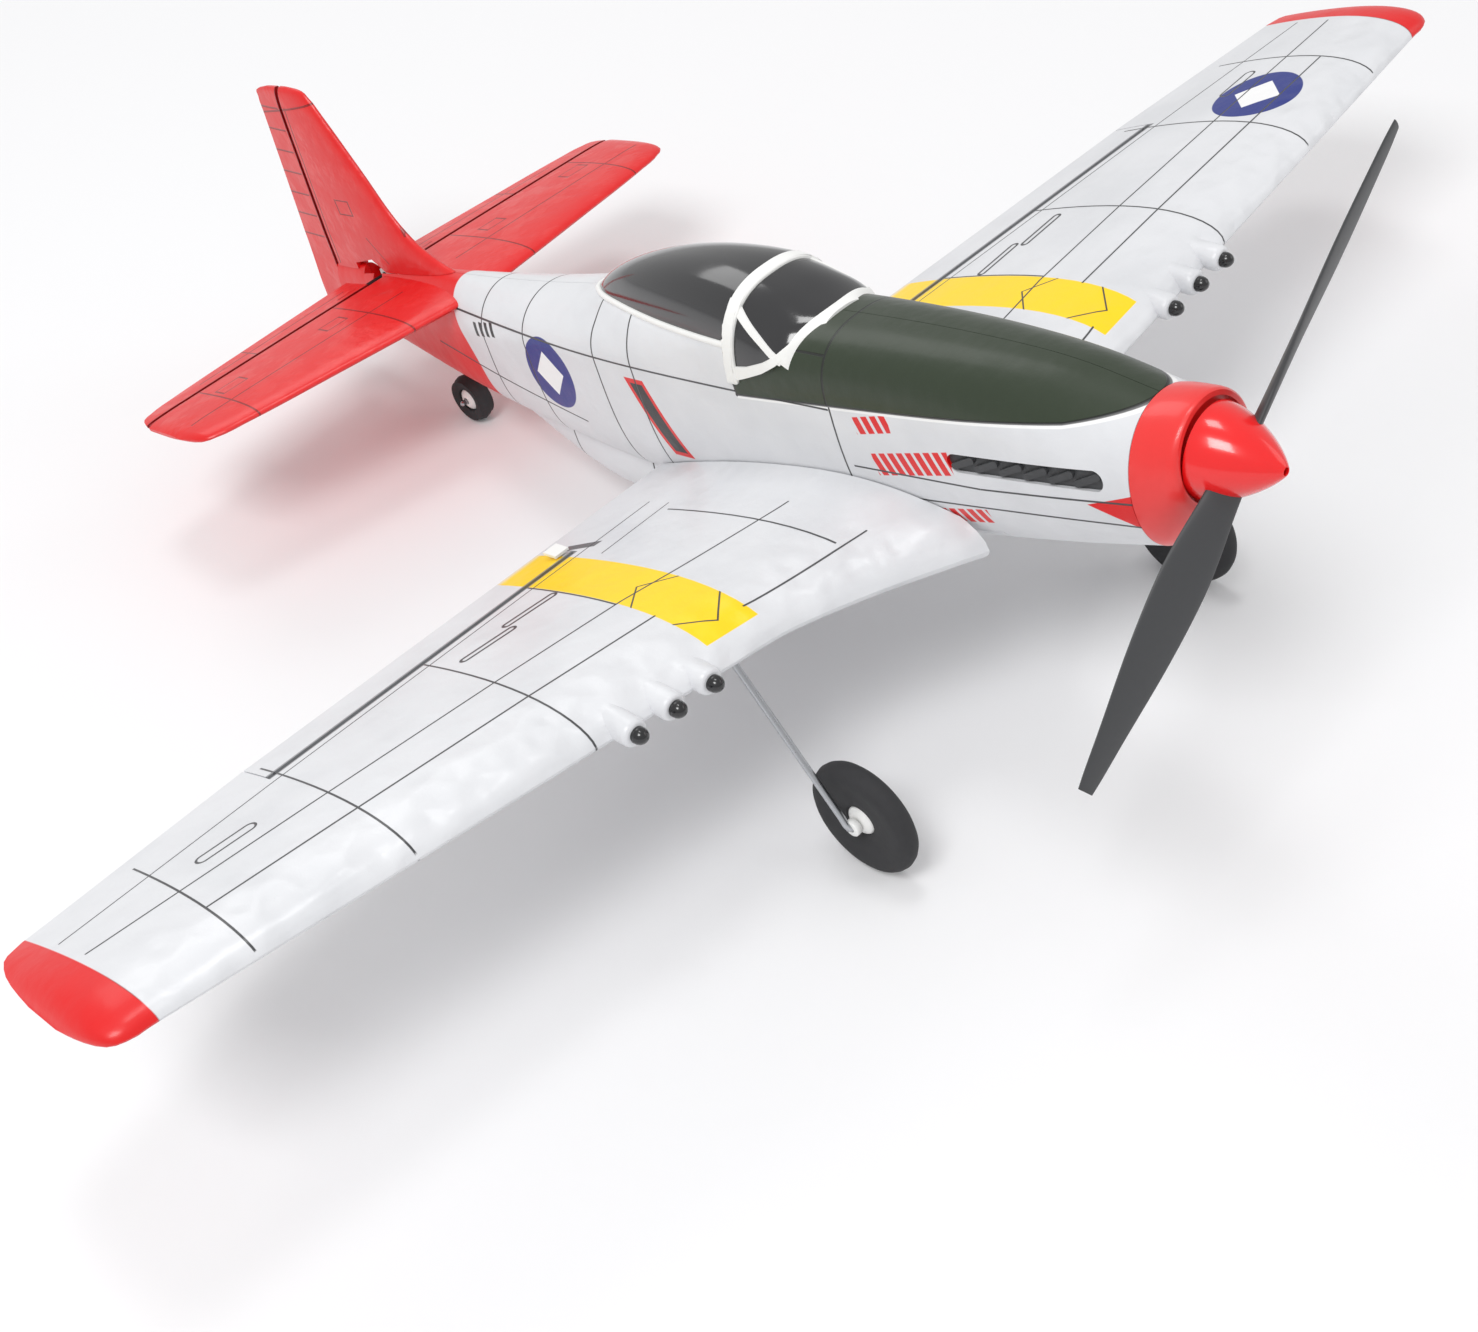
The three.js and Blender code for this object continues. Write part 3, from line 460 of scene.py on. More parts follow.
def fuselagePaint():
    shader = Shader("fuselageFoam", IOR=1.45, Coat_Weight=0.25, Coat_Roughness=0.22)
    x, y, z = shader.axes()
    look = fuselageLook
    side = abs(x)
    deckEdge = alongSide(y, look["deck"])
    deck = (z - deckEdge).above(0) * y.below(look["deckBack"])
    underDeck = (z - deckEdge).between(-0.8, 0) * y.below(look["deckBack"])
    deckRim = (z - deckEdge).line(0, 0.32) * y.below(-24.4)
    deckRim = deckRim + y.line(look["deckBack"], 0.32) * z.between(-3, 6)
    frames = []
    for at in look["frames"]:
        reach = z.below(-1.3) if at == look["frames"][-1] else z.below(40)
        frames.append((y + (z + 10) * 0.05).line(at, 0.3) * reach)
    lines = strongest(frames + [band(y, z, *seam) for seam in look["seams"]])
    deckSeams = (y.line(-52.0, 0.35) + y.line(-36.0, 0.25) * side.below(11.6)) * deck
    deckSeams = deckSeams.most(side.line(11.6, 0.25) * y.between(-52, -36) * deck)
    tailRed = (y - 84 - (z + 4).rise(-14, 14) * 8).above(0, 0.25)
    arrow = (y + 114.5 + abs(z + 12.2) * 2.9).below(0)
    discY, discZ, discR = look["roundel"]
    dy, dz = y - discY, z - discZ + (y - discY) * 0.08
    disc = (dy * dy + dz * dz).root().below(discR)
    diamond = (abs(dz) + abs(dy)).below(discR * 0.62)
    slant = y - 8.0 - (z + 14) * 0.35
    bar = abs(slant).below(3.4) * z.between(-24.5, -4.5)
    barCore = abs(slant).below(2.2) * z.between(-23.3, -5.7)
    dashes = strongest(
        abs(y - at - (z - height) * 0.25).below(0.75) * abs(z - height).below(1.7)
        for at, height in look["dashes"])
    rows = []
    for startY, startZ, length, tall in look["rows"]:
        local = startY - y
        height = z - startZ - local * 0.2
        wave = (local + height * 0.3).zigzag(1.3)
        rows.append(wave.above(0.42, 0.1) * local.between(0, length) * abs(height).below(tall / 2))
    marks = [
        (tailRed, paints["red"]), (arrow, paints["red"]),
        (disc, paints["blue"]), (diamond, paints["white"]),
        (bar, paints["red"]), (barCore, paints["darkGrey"]),
        (dashes, paints["darkGrey"]), (strongest(rows), paints["red"]),
        (underDeck, paints["white"]), (lines * (1 - deck), paints["line"]),
        (deck, paints["olive"]), (deckSeams * 0.8, paints["darkGrey"]),
        (deckRim * 0.85, paints["darkGrey"]),
    ]
    grooves = lines * (1 - deck) + deckSeams + deckRim
    silver = (paints["silver"], paints["silverDark"])
    foamFinish(shader, marks, silver, grooves, (1 - deck) * 0.35, 0.12)
    return shader.material


fuselageSection = smoothTable([
    [-125, 13.1, 5.5, -25.1, -9.7, 2.1, 2.1], [-108, 13.9, 9.4, -28.6, -7, 2.2, 2.2],
    [-85, 14.5, 11.4, -32.4, -4, 2.4, 2.3], [-52, 14.9, 11.9, -36.2, -2, 2.6, 2.4],
    [-25, 15.4, 11, -38, -2, 2.6, 2.6], [10, 15.3, 9.8, -37.5, -2, 2.4, 2.8],
    [30, 14.5, 8.7, -35.5, -2.5, 2.2, 3], [55, 12.6, 6.5, -32.5, -4, 2, 3.2],
    [75, 10.8, 5.2, -29.6, -6, 2, 3.2], [100, 7.9, 4.2, -26, -8, 2, 3],
    [130, 4.6, 3, -19.5, -8, 2, 2.6], [153, 2.7, 1.5, -13.5, -6, 2, 2.4]])
scoopSection = smoothTable([
    [-6, 7.5, -30, -44.5, -38, 2.4, 2.6], [12, 8.6, -28, -46.6, -38, 2.4, 2.8],
    [32, 8.8, -26, -46.4, -36, 2.4, 2.8], [46, 8.4, -25, -44.6, -34, 2.4, 2.8],
    [58, 7.6, -24, -40.6, -31, 2.4, 2.8], [76, 5.6, -23, -31.5, -28, 2.4, 2.8]])
windscreenSection = smoothTable([
    [-46.5, 9, 12, -6, 1, 2.6, 2], [-42, 14.2, 13.9, -6, 1, 2.6, 2],
    [-35, 15.2, 16.9, -6, 1, 2.6, 2], [-22, 15.4, 20.6, -6, 1, 2.6, 2]])
bubbleSection = smoothTable([
    [-32, 14.6, 18.4, 7, 8.5, 2.4, 2.2], [-28, 14.4, 19.6, 7, 8.5, 2.4, 2.2],
    [-14, 13.3, 21, 7, 8.6, 2.3, 2.2], [2, 11.2, 20, 7, 8.7, 2.2, 2.2],
    [16, 8.4, 17, 7, 8.8, 2.1, 2.2], [26, 5.4, 13.2, 7.4, 9, 2, 2.2],
    [31, 2.6, 10.2, 8, 9, 2, 2.2]])
rimHeight = smoothTable([[-32, 8.6], [-25, 8.8], [0, 9.4], [14, 9.8], [24, 9.8], [31, 9.5]])
noseY, tailY, foamWall, gap = -125, 153, 2.6, 0.3
saddle = {"from": -27, "to": 32, "fade": 5, "spread": 5}


def withSaddle(ring, section):
    # lifts the deck's shoulders in a soft fillet up to the bubble's rim
    y, middle, top = ring[0][1], section[3], section[1]
    along = eased((y - saddle["from"]) / 2) * (1 - eased((y - saddle["to"]) / saddle["fade"]))
    if along <= 0:
        return ring
    half, (rim,) = bubbleSection(y)[0], rimHeight(y)
    lifted = []
    for x, _, z in ring:
        share = (z - middle) / (top - middle)
        out = min(max((abs(x) - half - 0.5) / saddle["spread"], 0), 1)
        weight = along * (1 - out) ** 2 * eased(share * 2.5)
        lifted.append((x, y, z + max(rim - 0.3 - z, 0) * weight))
    return lifted


def fuselageBody(start=noseY, end=tailY, inset=0.0, count=110, sides=88, raised=False):
    rings = []
    for y in steps(start, end, count):
        section = fuselageSection(y)
        ring = sectionRing(y, section, inset, sides)
        rings.append(withSaddle(ring, section) if raised else ring)
    return lofted(rings)


def scoopBody(grow=0.0):
    return lofted([sectionRing(y, scoopSection(y), -grow, 48) for y in steps(-6, 76, 40)])


hatch = {"half": 9, "from": -86, "to": -45.5, "top": -27, "gap": 0.3}
exhaust = {"from": (-82, -8.7), "to": (-119.5, -6.7), "tall": 4.3, "stacks": 6, "sunk": 0.8}


def stadium(y0, y1, z0, z1, radius, around=12):
    # a rounded slot's outline between two end centres
    angle = math.atan2(z1 - z0, y1 - y0)
    ends = [((y1, z1), angle - math.pi / 2), ((y0, z0), angle + math.pi / 2)]
    outline = []
    for (endY, endZ), first in ends:
        for k in range(around + 1):
            a = first + math.pi * k / around
            outline.append((endY + radius * math.cos(a), endZ + radius * math.sin(a)))
    return outline


def exhaustSlot(grow=0.0, low=11.0, high=18.0):
    half = exhaust["tall"] / 2
    (y0, z0), (y1, z1) = exhaust["from"], exhaust["to"]
    return prism(stadium(y1 + half, y0 - half, z1, z0, half + grow), "X", low, high)


def hatchBlock(grow=0.0):
    half = hatch["half"] + grow
    return block(-half, half, hatch["from"] - grow, hatch["to"] + grow, -50, hatch["top"] + grow)


def joinerRod(halfLength, radius, sides=32):
    y = tail["hingeY"] + tail["joiner"]
    return rodBetween((-halfLength, y, 0), (halfLength, y, 0), radius, sides)


def buildFuselage(paint, black):
    inlet = lofted([sectionRing(y, [6.2, -39, -43.3, -41, 2.6, 2.6], 0, 48) for y in steps(-7, 2, 3)])
    spinWell = turned([(0, 2), (4.5, 2), (4.5, 16), (7.9, 16), (7.9, 22), (0, 22)], 32)
    onThrustLine(spinWell)
    body = combined(
        fuselageBody(raised=True), ("UNION", scoopBody()), ("DIFFERENCE", inlet),
        ("DIFFERENCE", fuselageBody(noseY + 1.5, 128, foamWall, 40, 48)),
        ("DIFFERENCE", hatchBlock(hatch["gap"])), ("DIFFERENCE", joinerRod(19, 2.5)),
        ("DIFFERENCE", block(-2.3, 2.3, 119, 138, -13, 4)),
        ("DIFFERENCE", spinWell),
        ("DIFFERENCE", exhaustSlot()), ("DIFFERENCE", mirrored(exhaustSlot())))
    for word, x0, x1 in (("left", 0.05, 60), ("right", -60, -0.05)):
        half = combined(body.copy(), ("INTERSECT", block(x0, x1, -200, 200, -100, 100)))
        piece(f"fuselage{word.capitalize()}", half, "airframe", paint,
              [f"fuselage_{word}"], 30)
    body.free()
    cover = combined(fuselageBody(-92, -40, 0, 24, 88),
                     ("DIFFERENCE", fuselageBody(-95, -38, foamWall, 20, 48)),
                     ("INTERSECT", hatchBlock()))
    piece("batteryHatch", cover, "battery_hatch", paint, ["battery_hatch"], 30)
    for side, flip in (("Left", lambda bm: bm), ("Right", mirrored)):
        back = combined(fuselageBody(-122, -78, exhaust["sunk"], 24, 88),
                        ("INTERSECT", exhaustSlot(0.02)))
        stacks = []
        (y0, z0), (y1, z1) = exhaust["from"], exhaust["to"]
        for i in range(exhaust["stacks"]):
            t = (i + 0.62) / (exhaust["stacks"] + 0.25)
            y, z = y1 + (y0 - y1) * t, z1 + (z0 - z1) * t
            outline = stadium(y - 2.4, y + 2.4, z + 1.05, z - 1.05, 0.72, 8)
            stacks.append(combined(fuselageBody(-122, -78, 0.05, 24, 64),
                                   ("INTERSECT", prism(outline, "X", 11.5, 18))))
        piece(f"exhaust{side}", flip(joined(back, *stacks)), "airframe", black,
              sharp=40)


# glazing, the white arch and the sill round it
archLook = {"foot": (0, -25.3, 0.8), "slant": 9.1, "half": 1.6, "proud": 0.7}
archSlant = math.radians(archLook["slant"])
archNormal = Vector((0, math.cos(archSlant), math.sin(archSlant)))
sillFoot = [(-24.5, 0.6), (-30.3, 2.4), (-35.5, 4.1), (-39.9, 6.2), (-43.2, 8.6),
            (-46, 11), (-45.2, 12), (-42.4, 9.9), (-39.6, 8.0), (-36, 6.4), (-31, 5.0), (-24.5, 4.2)]


def archPoint(along):
    return Vector(archLook["foot"]) + archNormal * along


def windscreenBody(start, end, inset, count=26):
    return lofted([sectionRing(y, windscreenSection(y), inset, 96) for y in steps(start, end, count)])


def buildCanopy(glass, white):
    bubble = lofted([sectionRing(y, bubbleSection(y), 0, 96) for y in
                     steps(-32, 26, 46) + [27.2, 28.4, 29.4, 30.2, 30.7]]
                    + [sectionRing(31.0, [1.5, 9.8, 8.6, 9, 2, 2.2], 0, 96)])
    keptSide(bubble, archPoint(0), -archNormal)
    piece("canopyBubble", bubble, "airframe", glass, ["canopy_bubble"], 50)
    pane = windscreenBody(-46.4, -22, 0)
    keptSide(pane, archPoint(0), archNormal)
    keptSide(pane, Vector((0, -39.9, 6.6)), Vector((0, -0.318, -0.948)))
    piece("windscreenGlass", pane, "airframe", glass, ["windscreen"], 50)
    arch = windscreenBody(-36, -18, -archLook["proud"], 30)
    keptSide(arch, archPoint(archLook["half"]), archNormal)
    keptSide(arch, archPoint(-archLook["half"]), -archNormal)
    keptSide(arch, Vector((0, 0, 0.4)), Vector((0, 0, -1)))
    ends = [edge for edge in arch.edges
            if len(edge.link_faces) == 2 and edge.calc_face_angle(0) > 1.0]
    bmesh.ops.bevel(arch, geom=ends, offset=0.45, segments=3, profile=0.5,
                    affect="EDGES", material=-1)
    piece("canopyArch", arch, "airframe", white, ["canopy_arch"], 40)
    sillBand = combined(windscreenBody(-47.2, -22, -0.4),
                        ("INTERSECT", fuselageBody(-52, -20, -1.0, 20, 96)))
    keptSide(sillBand, Vector((0, -40.3, 7.6)), Vector((0, 0.75, -0.66)))
    foot = combined(windscreenBody(-46.8, -22, -0.4), ("INTERSECT", prism(sillFoot, "X", -30, 30)))
    keptSide(foot, archPoint(0), archNormal)
    strutBar = block(-30, 30, -0.65, 0.65, -9, 9)
    middle = Vector((0, -33.9, 11.9))
    tilt = Matrix.Rotation(math.atan2(7.6, 10.6) - math.pi / 2, 4, "X")
    bmesh.ops.transform(strutBar, matrix=Matrix.Translation(middle) @ tilt, verts=strutBar.verts[:])
    strut = combined(windscreenBody(-46, -22, -0.3), ("INTERSECT", strutBar))
    keptSide(strut, archPoint(0), archNormal)
    keptSide(strut, Vector((0, 0, 16.2)), Vector((0, 0, 1)))
    surround = joined(sillBand, foot, strut)
    piece("windscreenFrame", surround, "airframe", white, sharp=40)
    rimPath = [(bubbleSection(y)[0] + 0.15, y, rimHeight(y)[0] - 0.15)
               for y in steps(-26.2, 30.4, 44)]
    rimPath += [(1.4, 31.6, 9.3)]
    rimPath += [(-x, y, z) for x, y, z in reversed(rimPath)]
    piece("canopyRim", tube(rimPath, 0.75, 16), "airframe", white, sharp=50)


# cowl ring, spinner and propeller, all on a drooped thrust line
thrust = {"y": -134, "z": -4.9, "droop": 6.3}
thrustTurn = Matrix.Translation((0, thrust["y"], thrust["z"])) @ Matrix.Rotation(
    math.radians(thrust["droop"]), 4, "X")
spinnerLook = {"radius": 9.1, "length": 15.8}
propLook = {"radius": 64, "phase": 36.5, "plane": 6}
bladeRows = smoothTable([
    [3, 6, 40, 1.9], [10, 7.4, 34, 1.9], [18, 9.6, 29, 1.8], [24, 10.6, 26, 1.6], [38, 9.9, 20, 1.3],
    [54, 6.4, 15, 1.0], [61, 4.8, 13, 0.85], [64, 3.8, 13, 0.7]])


def onThrustLine(bm):
    bmesh.ops.transform(bm, matrix=thrustTurn, verts=bm.verts[:])
    return bm


def bladeBody(side):
    rings = []
    for radius in steps(3, propLook["radius"], 48):
        chord, pitch, thick = bladeRows(radius)
        turn = -math.radians(pitch)
        ring = []
        for k in range(28):
            a = 2 * math.pi * k / 28
            along, across = 0.5 * chord * math.cos(a), 0.5 * thick * math.sin(a)
            ring.append((side * radius,
                         along * math.sin(turn) + across * math.cos(turn) - propLook["plane"],
                         side * (along * math.cos(turn) - across * math.sin(turn))))
        rings.append(ring)
    return lofted(rings)


def buildNose(red, redGloss, black, blackGloss):
    rings = [(noseY - 0.15, fuselageSection(noseY)), (-126.6, [13.05, 5.75, -24.6, -9.4, 2.1, 2.1]),
             (-128, [12.9, 5.9, -23.6, -9, 2.1, 2.1]), (-129.8, [12.6, 6.1, -21.9, -8.1, 2.05, 2.1]),
             (-131.5, [12.2, 6.2, -20, -7, 2, 2.1]), (-132.7, [11.9, 6.2, -18.4, -6.1, 2, 2.05]),
             (-133.6, [11.5, 6.1, -17, -5.4, 2, 2]), (-134.2, [11.1, 6.05, -16.6, -5.1, 2, 2]),
             (-134.6, [10.5, 5.8, -16.1, -4.9, 2, 2])]
    well = onThrustLine(turned([(0, -6), (9.7, -6), (9.7, 1.3), (5, 1.3), (5, 14), (0, 14)]))
    ring = combined(lofted([sectionRing(y, section) for y, section in rings]), ("DIFFERENCE", well))
    piece("cowlRing", ring, "airframe", red, ["cowl_ring"], 40)
    radius, length = spinnerLook["radius"], spinnerLook["length"]
    profile = [(0, 0), (radius - 0.4, 0)]
    profile += [(radius * (1 - t**1.6) ** 0.8, -t * length) for t in steps(0.02, 0.96, 36)]
    profile += [(0.85, -length * 0.965), (0.75, -length * 0.96), (0.75, -length * 0.88),
                (0, -length * 0.88)]
    piece("spinnerShell", onThrustLine(turned(profile, 96)), "propeller", redGloss,
          ["spinner"], 40)
    screw = turned([(0, -length * 0.92), (0.45, -length * 0.92), (0.74, -length * 0.9),
                    (0.74, -length * 0.87), (0, -length * 0.87)], 24)
    piece("spinnerScrew", onThrustLine(screw), "propeller", blackGloss)
    hub = turned([(0, -9), (3.2, -9), (3.6, -8.6), (3.6, -3.4), (3.2, -3), (0, -3)], 48)
    blades = joined(hub, bladeBody(1), bladeBody(-1))
    phase = Matrix.Rotation(-math.radians(propLook["phase"]), 4, "Y")
    bmesh.ops.transform(blades, matrix=thrustTurn @ phase, verts=blades.verts[:])
    piece("propellerBlades", blades, "propeller", black, ["propeller"], 50)


# wings: the left one is drawn, and the right one mirrors it
wing = {
    "root": 12, "rows": 60, "around": 46, "bandFrom": 54.5, "bandTo": 67.3, "disc": (150, -38, 11),
    "slots": [(156, -28, 5, 1.9, 0.9), (75, -15.5, 6, 0.9, 0.8), (88, -18.5, 6, 0.9, 0.8)],
    "spar": (-42, -27.4), "servo": 62, "gear": 60,
}
aileron = {"inner": 52, "outer": 139, "gap": 1.5}
gunX = (72.3, 81.8, 91.4)
hingeStrip = ((-1.6, 0.3), (1.2, 0.3), (1.2, -0.3), (-1.6, -0.3))  # across the hinge, then up


def wingLine(x):
    return -29.8 + 0.0885 * (x - 20)


def leadingEdge(x):
    return -63.3 + 0.073 * (x - 97.7) - (12 * ((54 - x) / 37) ** 1.4 if x < 54 else 0)


def trailingEdge(x):
    return -1.6 - (0.152 if x < 140 else 0.2) * (x - 140)


tipRows = smoothTable([
    [186, leadingEdge(186), trailingEdge(186), 1], [189, leadingEdge(189), trailingEdge(189), 1],
    [194, -56.4, -12.6, 0.92], [197.5, -53.4, -15.6, 0.72], [199.3, -47, -23, 0.42],
    [200, -42, -31, 0.15]])


def thickness(c):
    return 10 * (0.2969 * math.sqrt(c) - 0.126 * c - 0.3516 * c**2 + 0.2843 * c**3 - 0.1036 * c**4)


def aerofoilRing(x, front, back, z, above, below, edge, around, raised=0.0):
    chord = back - front
    places = [(1 - math.cos(a)) / 2 for a in steps(0, math.pi, around // 2)]
    over = [(c, z + above * chord * thickness(c) + edge * c + raised * math.sin(math.pi * c))
            for c in places]
    under = [(c, z - below * chord * thickness(c) - edge * c) for c in reversed(places[1:])]
    return [(x, front + c * chord, height) for c, height in over + under]


def wingBody():
    rings = []
    for x in steps(wing["root"], 186, wing["rows"]):
        raised = 2.6 * ((26 - x) / 12) ** 2 if x < 26 else 0
        rings.append(aerofoilRing(x, leadingEdge(x), trailingEdge(x), wingLine(x), 0.1, 0.052, 0.35,
                                  wing["around"], raised))
    for x in (188, 190, 192, 194, 195.6, 196.8, 197.8, 198.6, 199.2, 199.6, 199.85, 200):
        front, back, scale = tipRows(x)
        rings.append(aerofoilRing(x, front, back, wingLine(x), 0.1 * scale, 0.052 * scale,
                                  0.35 * scale, wing["around"]))
    return lofted(rings)


def aileronLine(x):
    return -0.6 - 0.143 * (x - aileron["inner"])


def hingeAt(x):
    return (x, aileronLine(x), wingLine(x) + 1.3)


def aileronPrism(shrink):
    start, end = aileron["inner"] + shrink, aileron["outer"] - shrink
    lead = aileron["gap"] * (0.4 if shrink else -0.6)
    outline = [(start, aileronLine(start) + lead), (end, aileronLine(end) + lead),
               (end, 40), (start, 40)]
    return prism(outline, "Z", -60, 20)


def gunFairing(x):
    z = wingLine(x)
    profile = [(0, 0), (2.1, 0), (2.5, 0.15), (2.8, 0.5), (2.95, 1.2), (3.0, 4), (2.9, 7),
               (2.6, 11.5), (2.2, 16), (1.6, 20), (0.8, 23.6), (0, 23.8)]
    return aimed(turned(profile, 40), (x, -67.4, z + 0.2), (x, -44, z + 4.6))


def gunMuzzle(x):
    profile = [(0, 0), (1.75, 0), (1.75, 2.6), (1.5, 2.75), (1.5, 3.1), (1.75, 3.25), (1.75, 4),
               (1.66, 4.5), (1.4, 5.05), (1.0, 5.5), (0.5, 5.8), (0, 5.9)]
    height = wingLine(x) + 0.2
    return aimed(turned(profile, 40), (x, -64.3, height), (x, -80, height))


def wingPaint():
    shader = Shader("wingFoam", IOR=1.45, Coat_Weight=0.3, Coat_Roughness=0.2)
    x, y, z = shader.axes()
    out = abs(x)
    upper = (z - out * 0.0885 + 31.6).above(0.6, 0.4)
    front = alongSide(out, [(12, -86), (30, -72.5), (54, -66.5), (98, -63.3), (189, -56.6), (200, -52)])
    inBand = out.between(wing["bandFrom"], wing["bandTo"])
    yellow = inBand * (y - front).above(3.4, 0.1) * upper
    tip = (out - 188 - (y + 56.7) * 0.077).above(0, 0.15)
    chordwise = [(169, 0.0, -57.7, -12.9), (137, 0.0, -60.2, -6), (98, 0.0, -63.3, -7.9),
                 (67.6, 0.0, -36.3, -4), (33, 0.03, -62.5, -11)]
    lines = [(out - y * slope).line(at, 0.28) * y.between(y0, y1) for at, slope, y0, y1 in chordwise]
    spanA = alongSide(out, [(24, -42), (66, -36.3), (98, -35), (188, -33.5)])
    spanB = alongSide(out, [(24, -52), (55, -48.5), (98, -46.2), (169, -43.8)])
    spanC = alongSide(out, [(25, -65.3), (55, -59.8), (98, -57.5)])
    hinge = aileronLine(out)
    lines += [
        (y - spanA).line(0, 0.28) * out.between(24, 188),
        (y - spanB).line(0, 0.28) * out.between(67, 169),
        (y - spanC).line(0, 0.28) * out.between(25, 55),
        (y - hinge + 3.3).line(0, 0.24) * out.between(30, 189),
        (y - hinge + 10.6).line(0, 0.22) * out.between(30, 52),
        (abs(out - 61) * 0.9 + abs(y + 47)).line(12, 0.3) * inBand,
    ]
    for at, slotY, slotLen, radius, width in wing["slots"]:
        dx, dy = (abs(out - at) - slotLen).most(0), y - slotY
        lines.append((dx * dx + dy * dy).line(radius, width))
    lines = strongest(lines)
    # painted shade: a grey band darkens the edges along the aileron hinge gap
    hingeShadeBand = (y - hinge).between(-1.3, 1.2) * out.between(aileron["inner"], aileron["outer"])
    grooveShade = hingeShadeBand * 0.85
    # painted shade: a small recess by the aileron's inner end is darkened
    recessShade = (out - 49.4 - (y + 2) * 0.35).between(-1.2, 1.2) * y.between(-5, 4) * upper
    discX, discY, discR = wing["disc"]
    dx, dy = x - discX, y - discY
    disc = (dx * dx + dy * dy).root().below(discR)
    diamond = (abs(dx) + abs(dy)).below(discR * 0.6)
    marks = [(yellow, paints["yellow"]), (disc * upper, paints["blue"]),
             (diamond * upper, paints["white"]), (tip, paints["red"]),
             (lines * (1 - tip), paints["line"]), (grooveShade, paints["grooveShade"]),
             (recessShade * 0.85, paints["darkGrey"])]
    nearEdge = 1 - (y - front).rise(6, 22)
    silver = (paints["silver"], paints["silverDark"])
    foamFinish(shader, marks, silver, lines.most(recessShade), nearEdge * (1 - tip), 1.1)
    return shader.material


def buildWings(paint, black, hingeShadePaint):
    for word, flip in (("Left", lambda bm: bm), ("Right", mirrored)):
        low = word.lower()
        cuts = [("DIFFERENCE", fuselageBody(-100, 40, -gap, 30, 48))]
        cuts += [("UNION", gunFairing(x)) for x in gunX]
        servoZ, gearZ = wingLine(wing["servo"]), wingLine(wing["gear"])
        cuts += [("DIFFERENCE", aileronPrism(0)),
                 ("DIFFERENCE", rodBetween((0, *wing["spar"]), (55.3, *wing["spar"]), 1.8, 24)),
                 ("DIFFERENCE", block(58.4, 65.6, -35.8, -20.2, servoZ - 20, servoZ + 2.5)),
                 ("DIFFERENCE", block(55.3, 63.9, -61.3, -49.7, gearZ - 8, gearZ - 0.3))]
        shell = combined(wingBody(), *cuts)
        piece(f"wing{word}", flip(shell), "airframe", paint, [f"wing_{low}"], 32)
        flap = combined(wingBody(), ("INTERSECT", aileronPrism(gap)))
        piece(f"aileron{word}", flip(flap), f"aileron_{low}", paint,
              [f"aileron_{low}"], 32)
        for i, x in enumerate(gunX):
            piece(f"gunMuzzle{word}{i + 1}", flip(gunMuzzle(x)), "airframe", black,
                  [f"gun_muzzle_{low}_{i + 1}"], 40)
        # the hinge strip on the groove floor is grey, painted shade in the gap
        places = map(hingeAt, steps(aileron["inner"] + 0.4, aileron["outer"] - 0.4, 12))
        shadeStrip = lofted([[(x, y + dy, z + dz) for dy, dz in hingeStrip] for x, y, z in places])
        made = piece(f"aileronHinge{word}", flip(shadeStrip), None, hingeShadePaint)
        side = 1 if word == "Left" else -1
        x, y, z = hingeAt(95)
        toFrame(side * x, y - tail["before"], z)
        toFrame(side * x, y + tail["behind"], z)
        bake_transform(made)


# tailplane, elevators, fin and rudder
tail = {"hingeY": elevatorHingeY, "before": 0.9, "behind": 0.6, "innerX": 7.5, "joiner": 2.7}
tailRows = smoothTable([
    [0, 85.8, 140.3, 2.2], [15, 88.4, 139.5, 2.2], [40, 93, 137.6, 2.1], [66, 98, 135.4, 1.8],
    [74, 100.4, 134, 1.6], [77.6, 104, 131.4, 1.1], [79, 111, 126, 0.3]])
finRows = smoothTable([
    [-14, 96, 166.6, 1.2], [-12.6, 96, 168.2, 1.6], [-9, 96, 168.3, 2], [3, 93, 166, 2.3],
    [6, 100, 165.4, 2.3], [9.5, 107, 164.8, 2.3], [15, 113, 163.7, 2.2], [30, 121.4, 160.8, 2],
    [44.5, 129.4, 158, 1.7], [49.4, 132.4, 157, 1.4], [51.6, 135.6, 155, 0.8], [52.2, 140, 150.5, 0.3]])


def tailBody():
    outward = steps(0, 70, 24) + [72, 74, 75.5, 76.8, 77.6, 78.2, 78.6, 78.85, 79]
    rings = []
    for x in [-value for value in reversed(outward[1:])] + outward:
        front, back, half = tailRows(abs(x))
        depth = half / (back - front)
        rings.append(aerofoilRing(x, front, back, 0, depth, depth, 0.3, 40))
    return lofted(rings)


def finBody():
    rings = []
    heights = [-14, -13.6, -13.2, -12.6, -11, -9] + steps(-7, 44, 40)
    for z in heights + [46, 48, 49.4, 50.4, 51.1, 51.6, 52, 52.2]:
        front, back, half = finRows(z)
        depth = half / (back - front)
        rings.append([(height, y, z) for _, y, height in
                      aerofoilRing(0, front, back, 0, depth, depth, 0.3, 40)])
    return lofted(rings)


def rudderHingeY(z):
    return 155.2 + (z + 13.5) * (144.5 - 155.2) / (56 + 13.5)


def sidePrism(lead, far, z0, z1):
    low, high = rudderHingeY(z0) + lead, rudderHingeY(z1) + lead
    return prism([(low, z0), (far, z0), (far, z1), (high, z1)], "X", -25, 25)


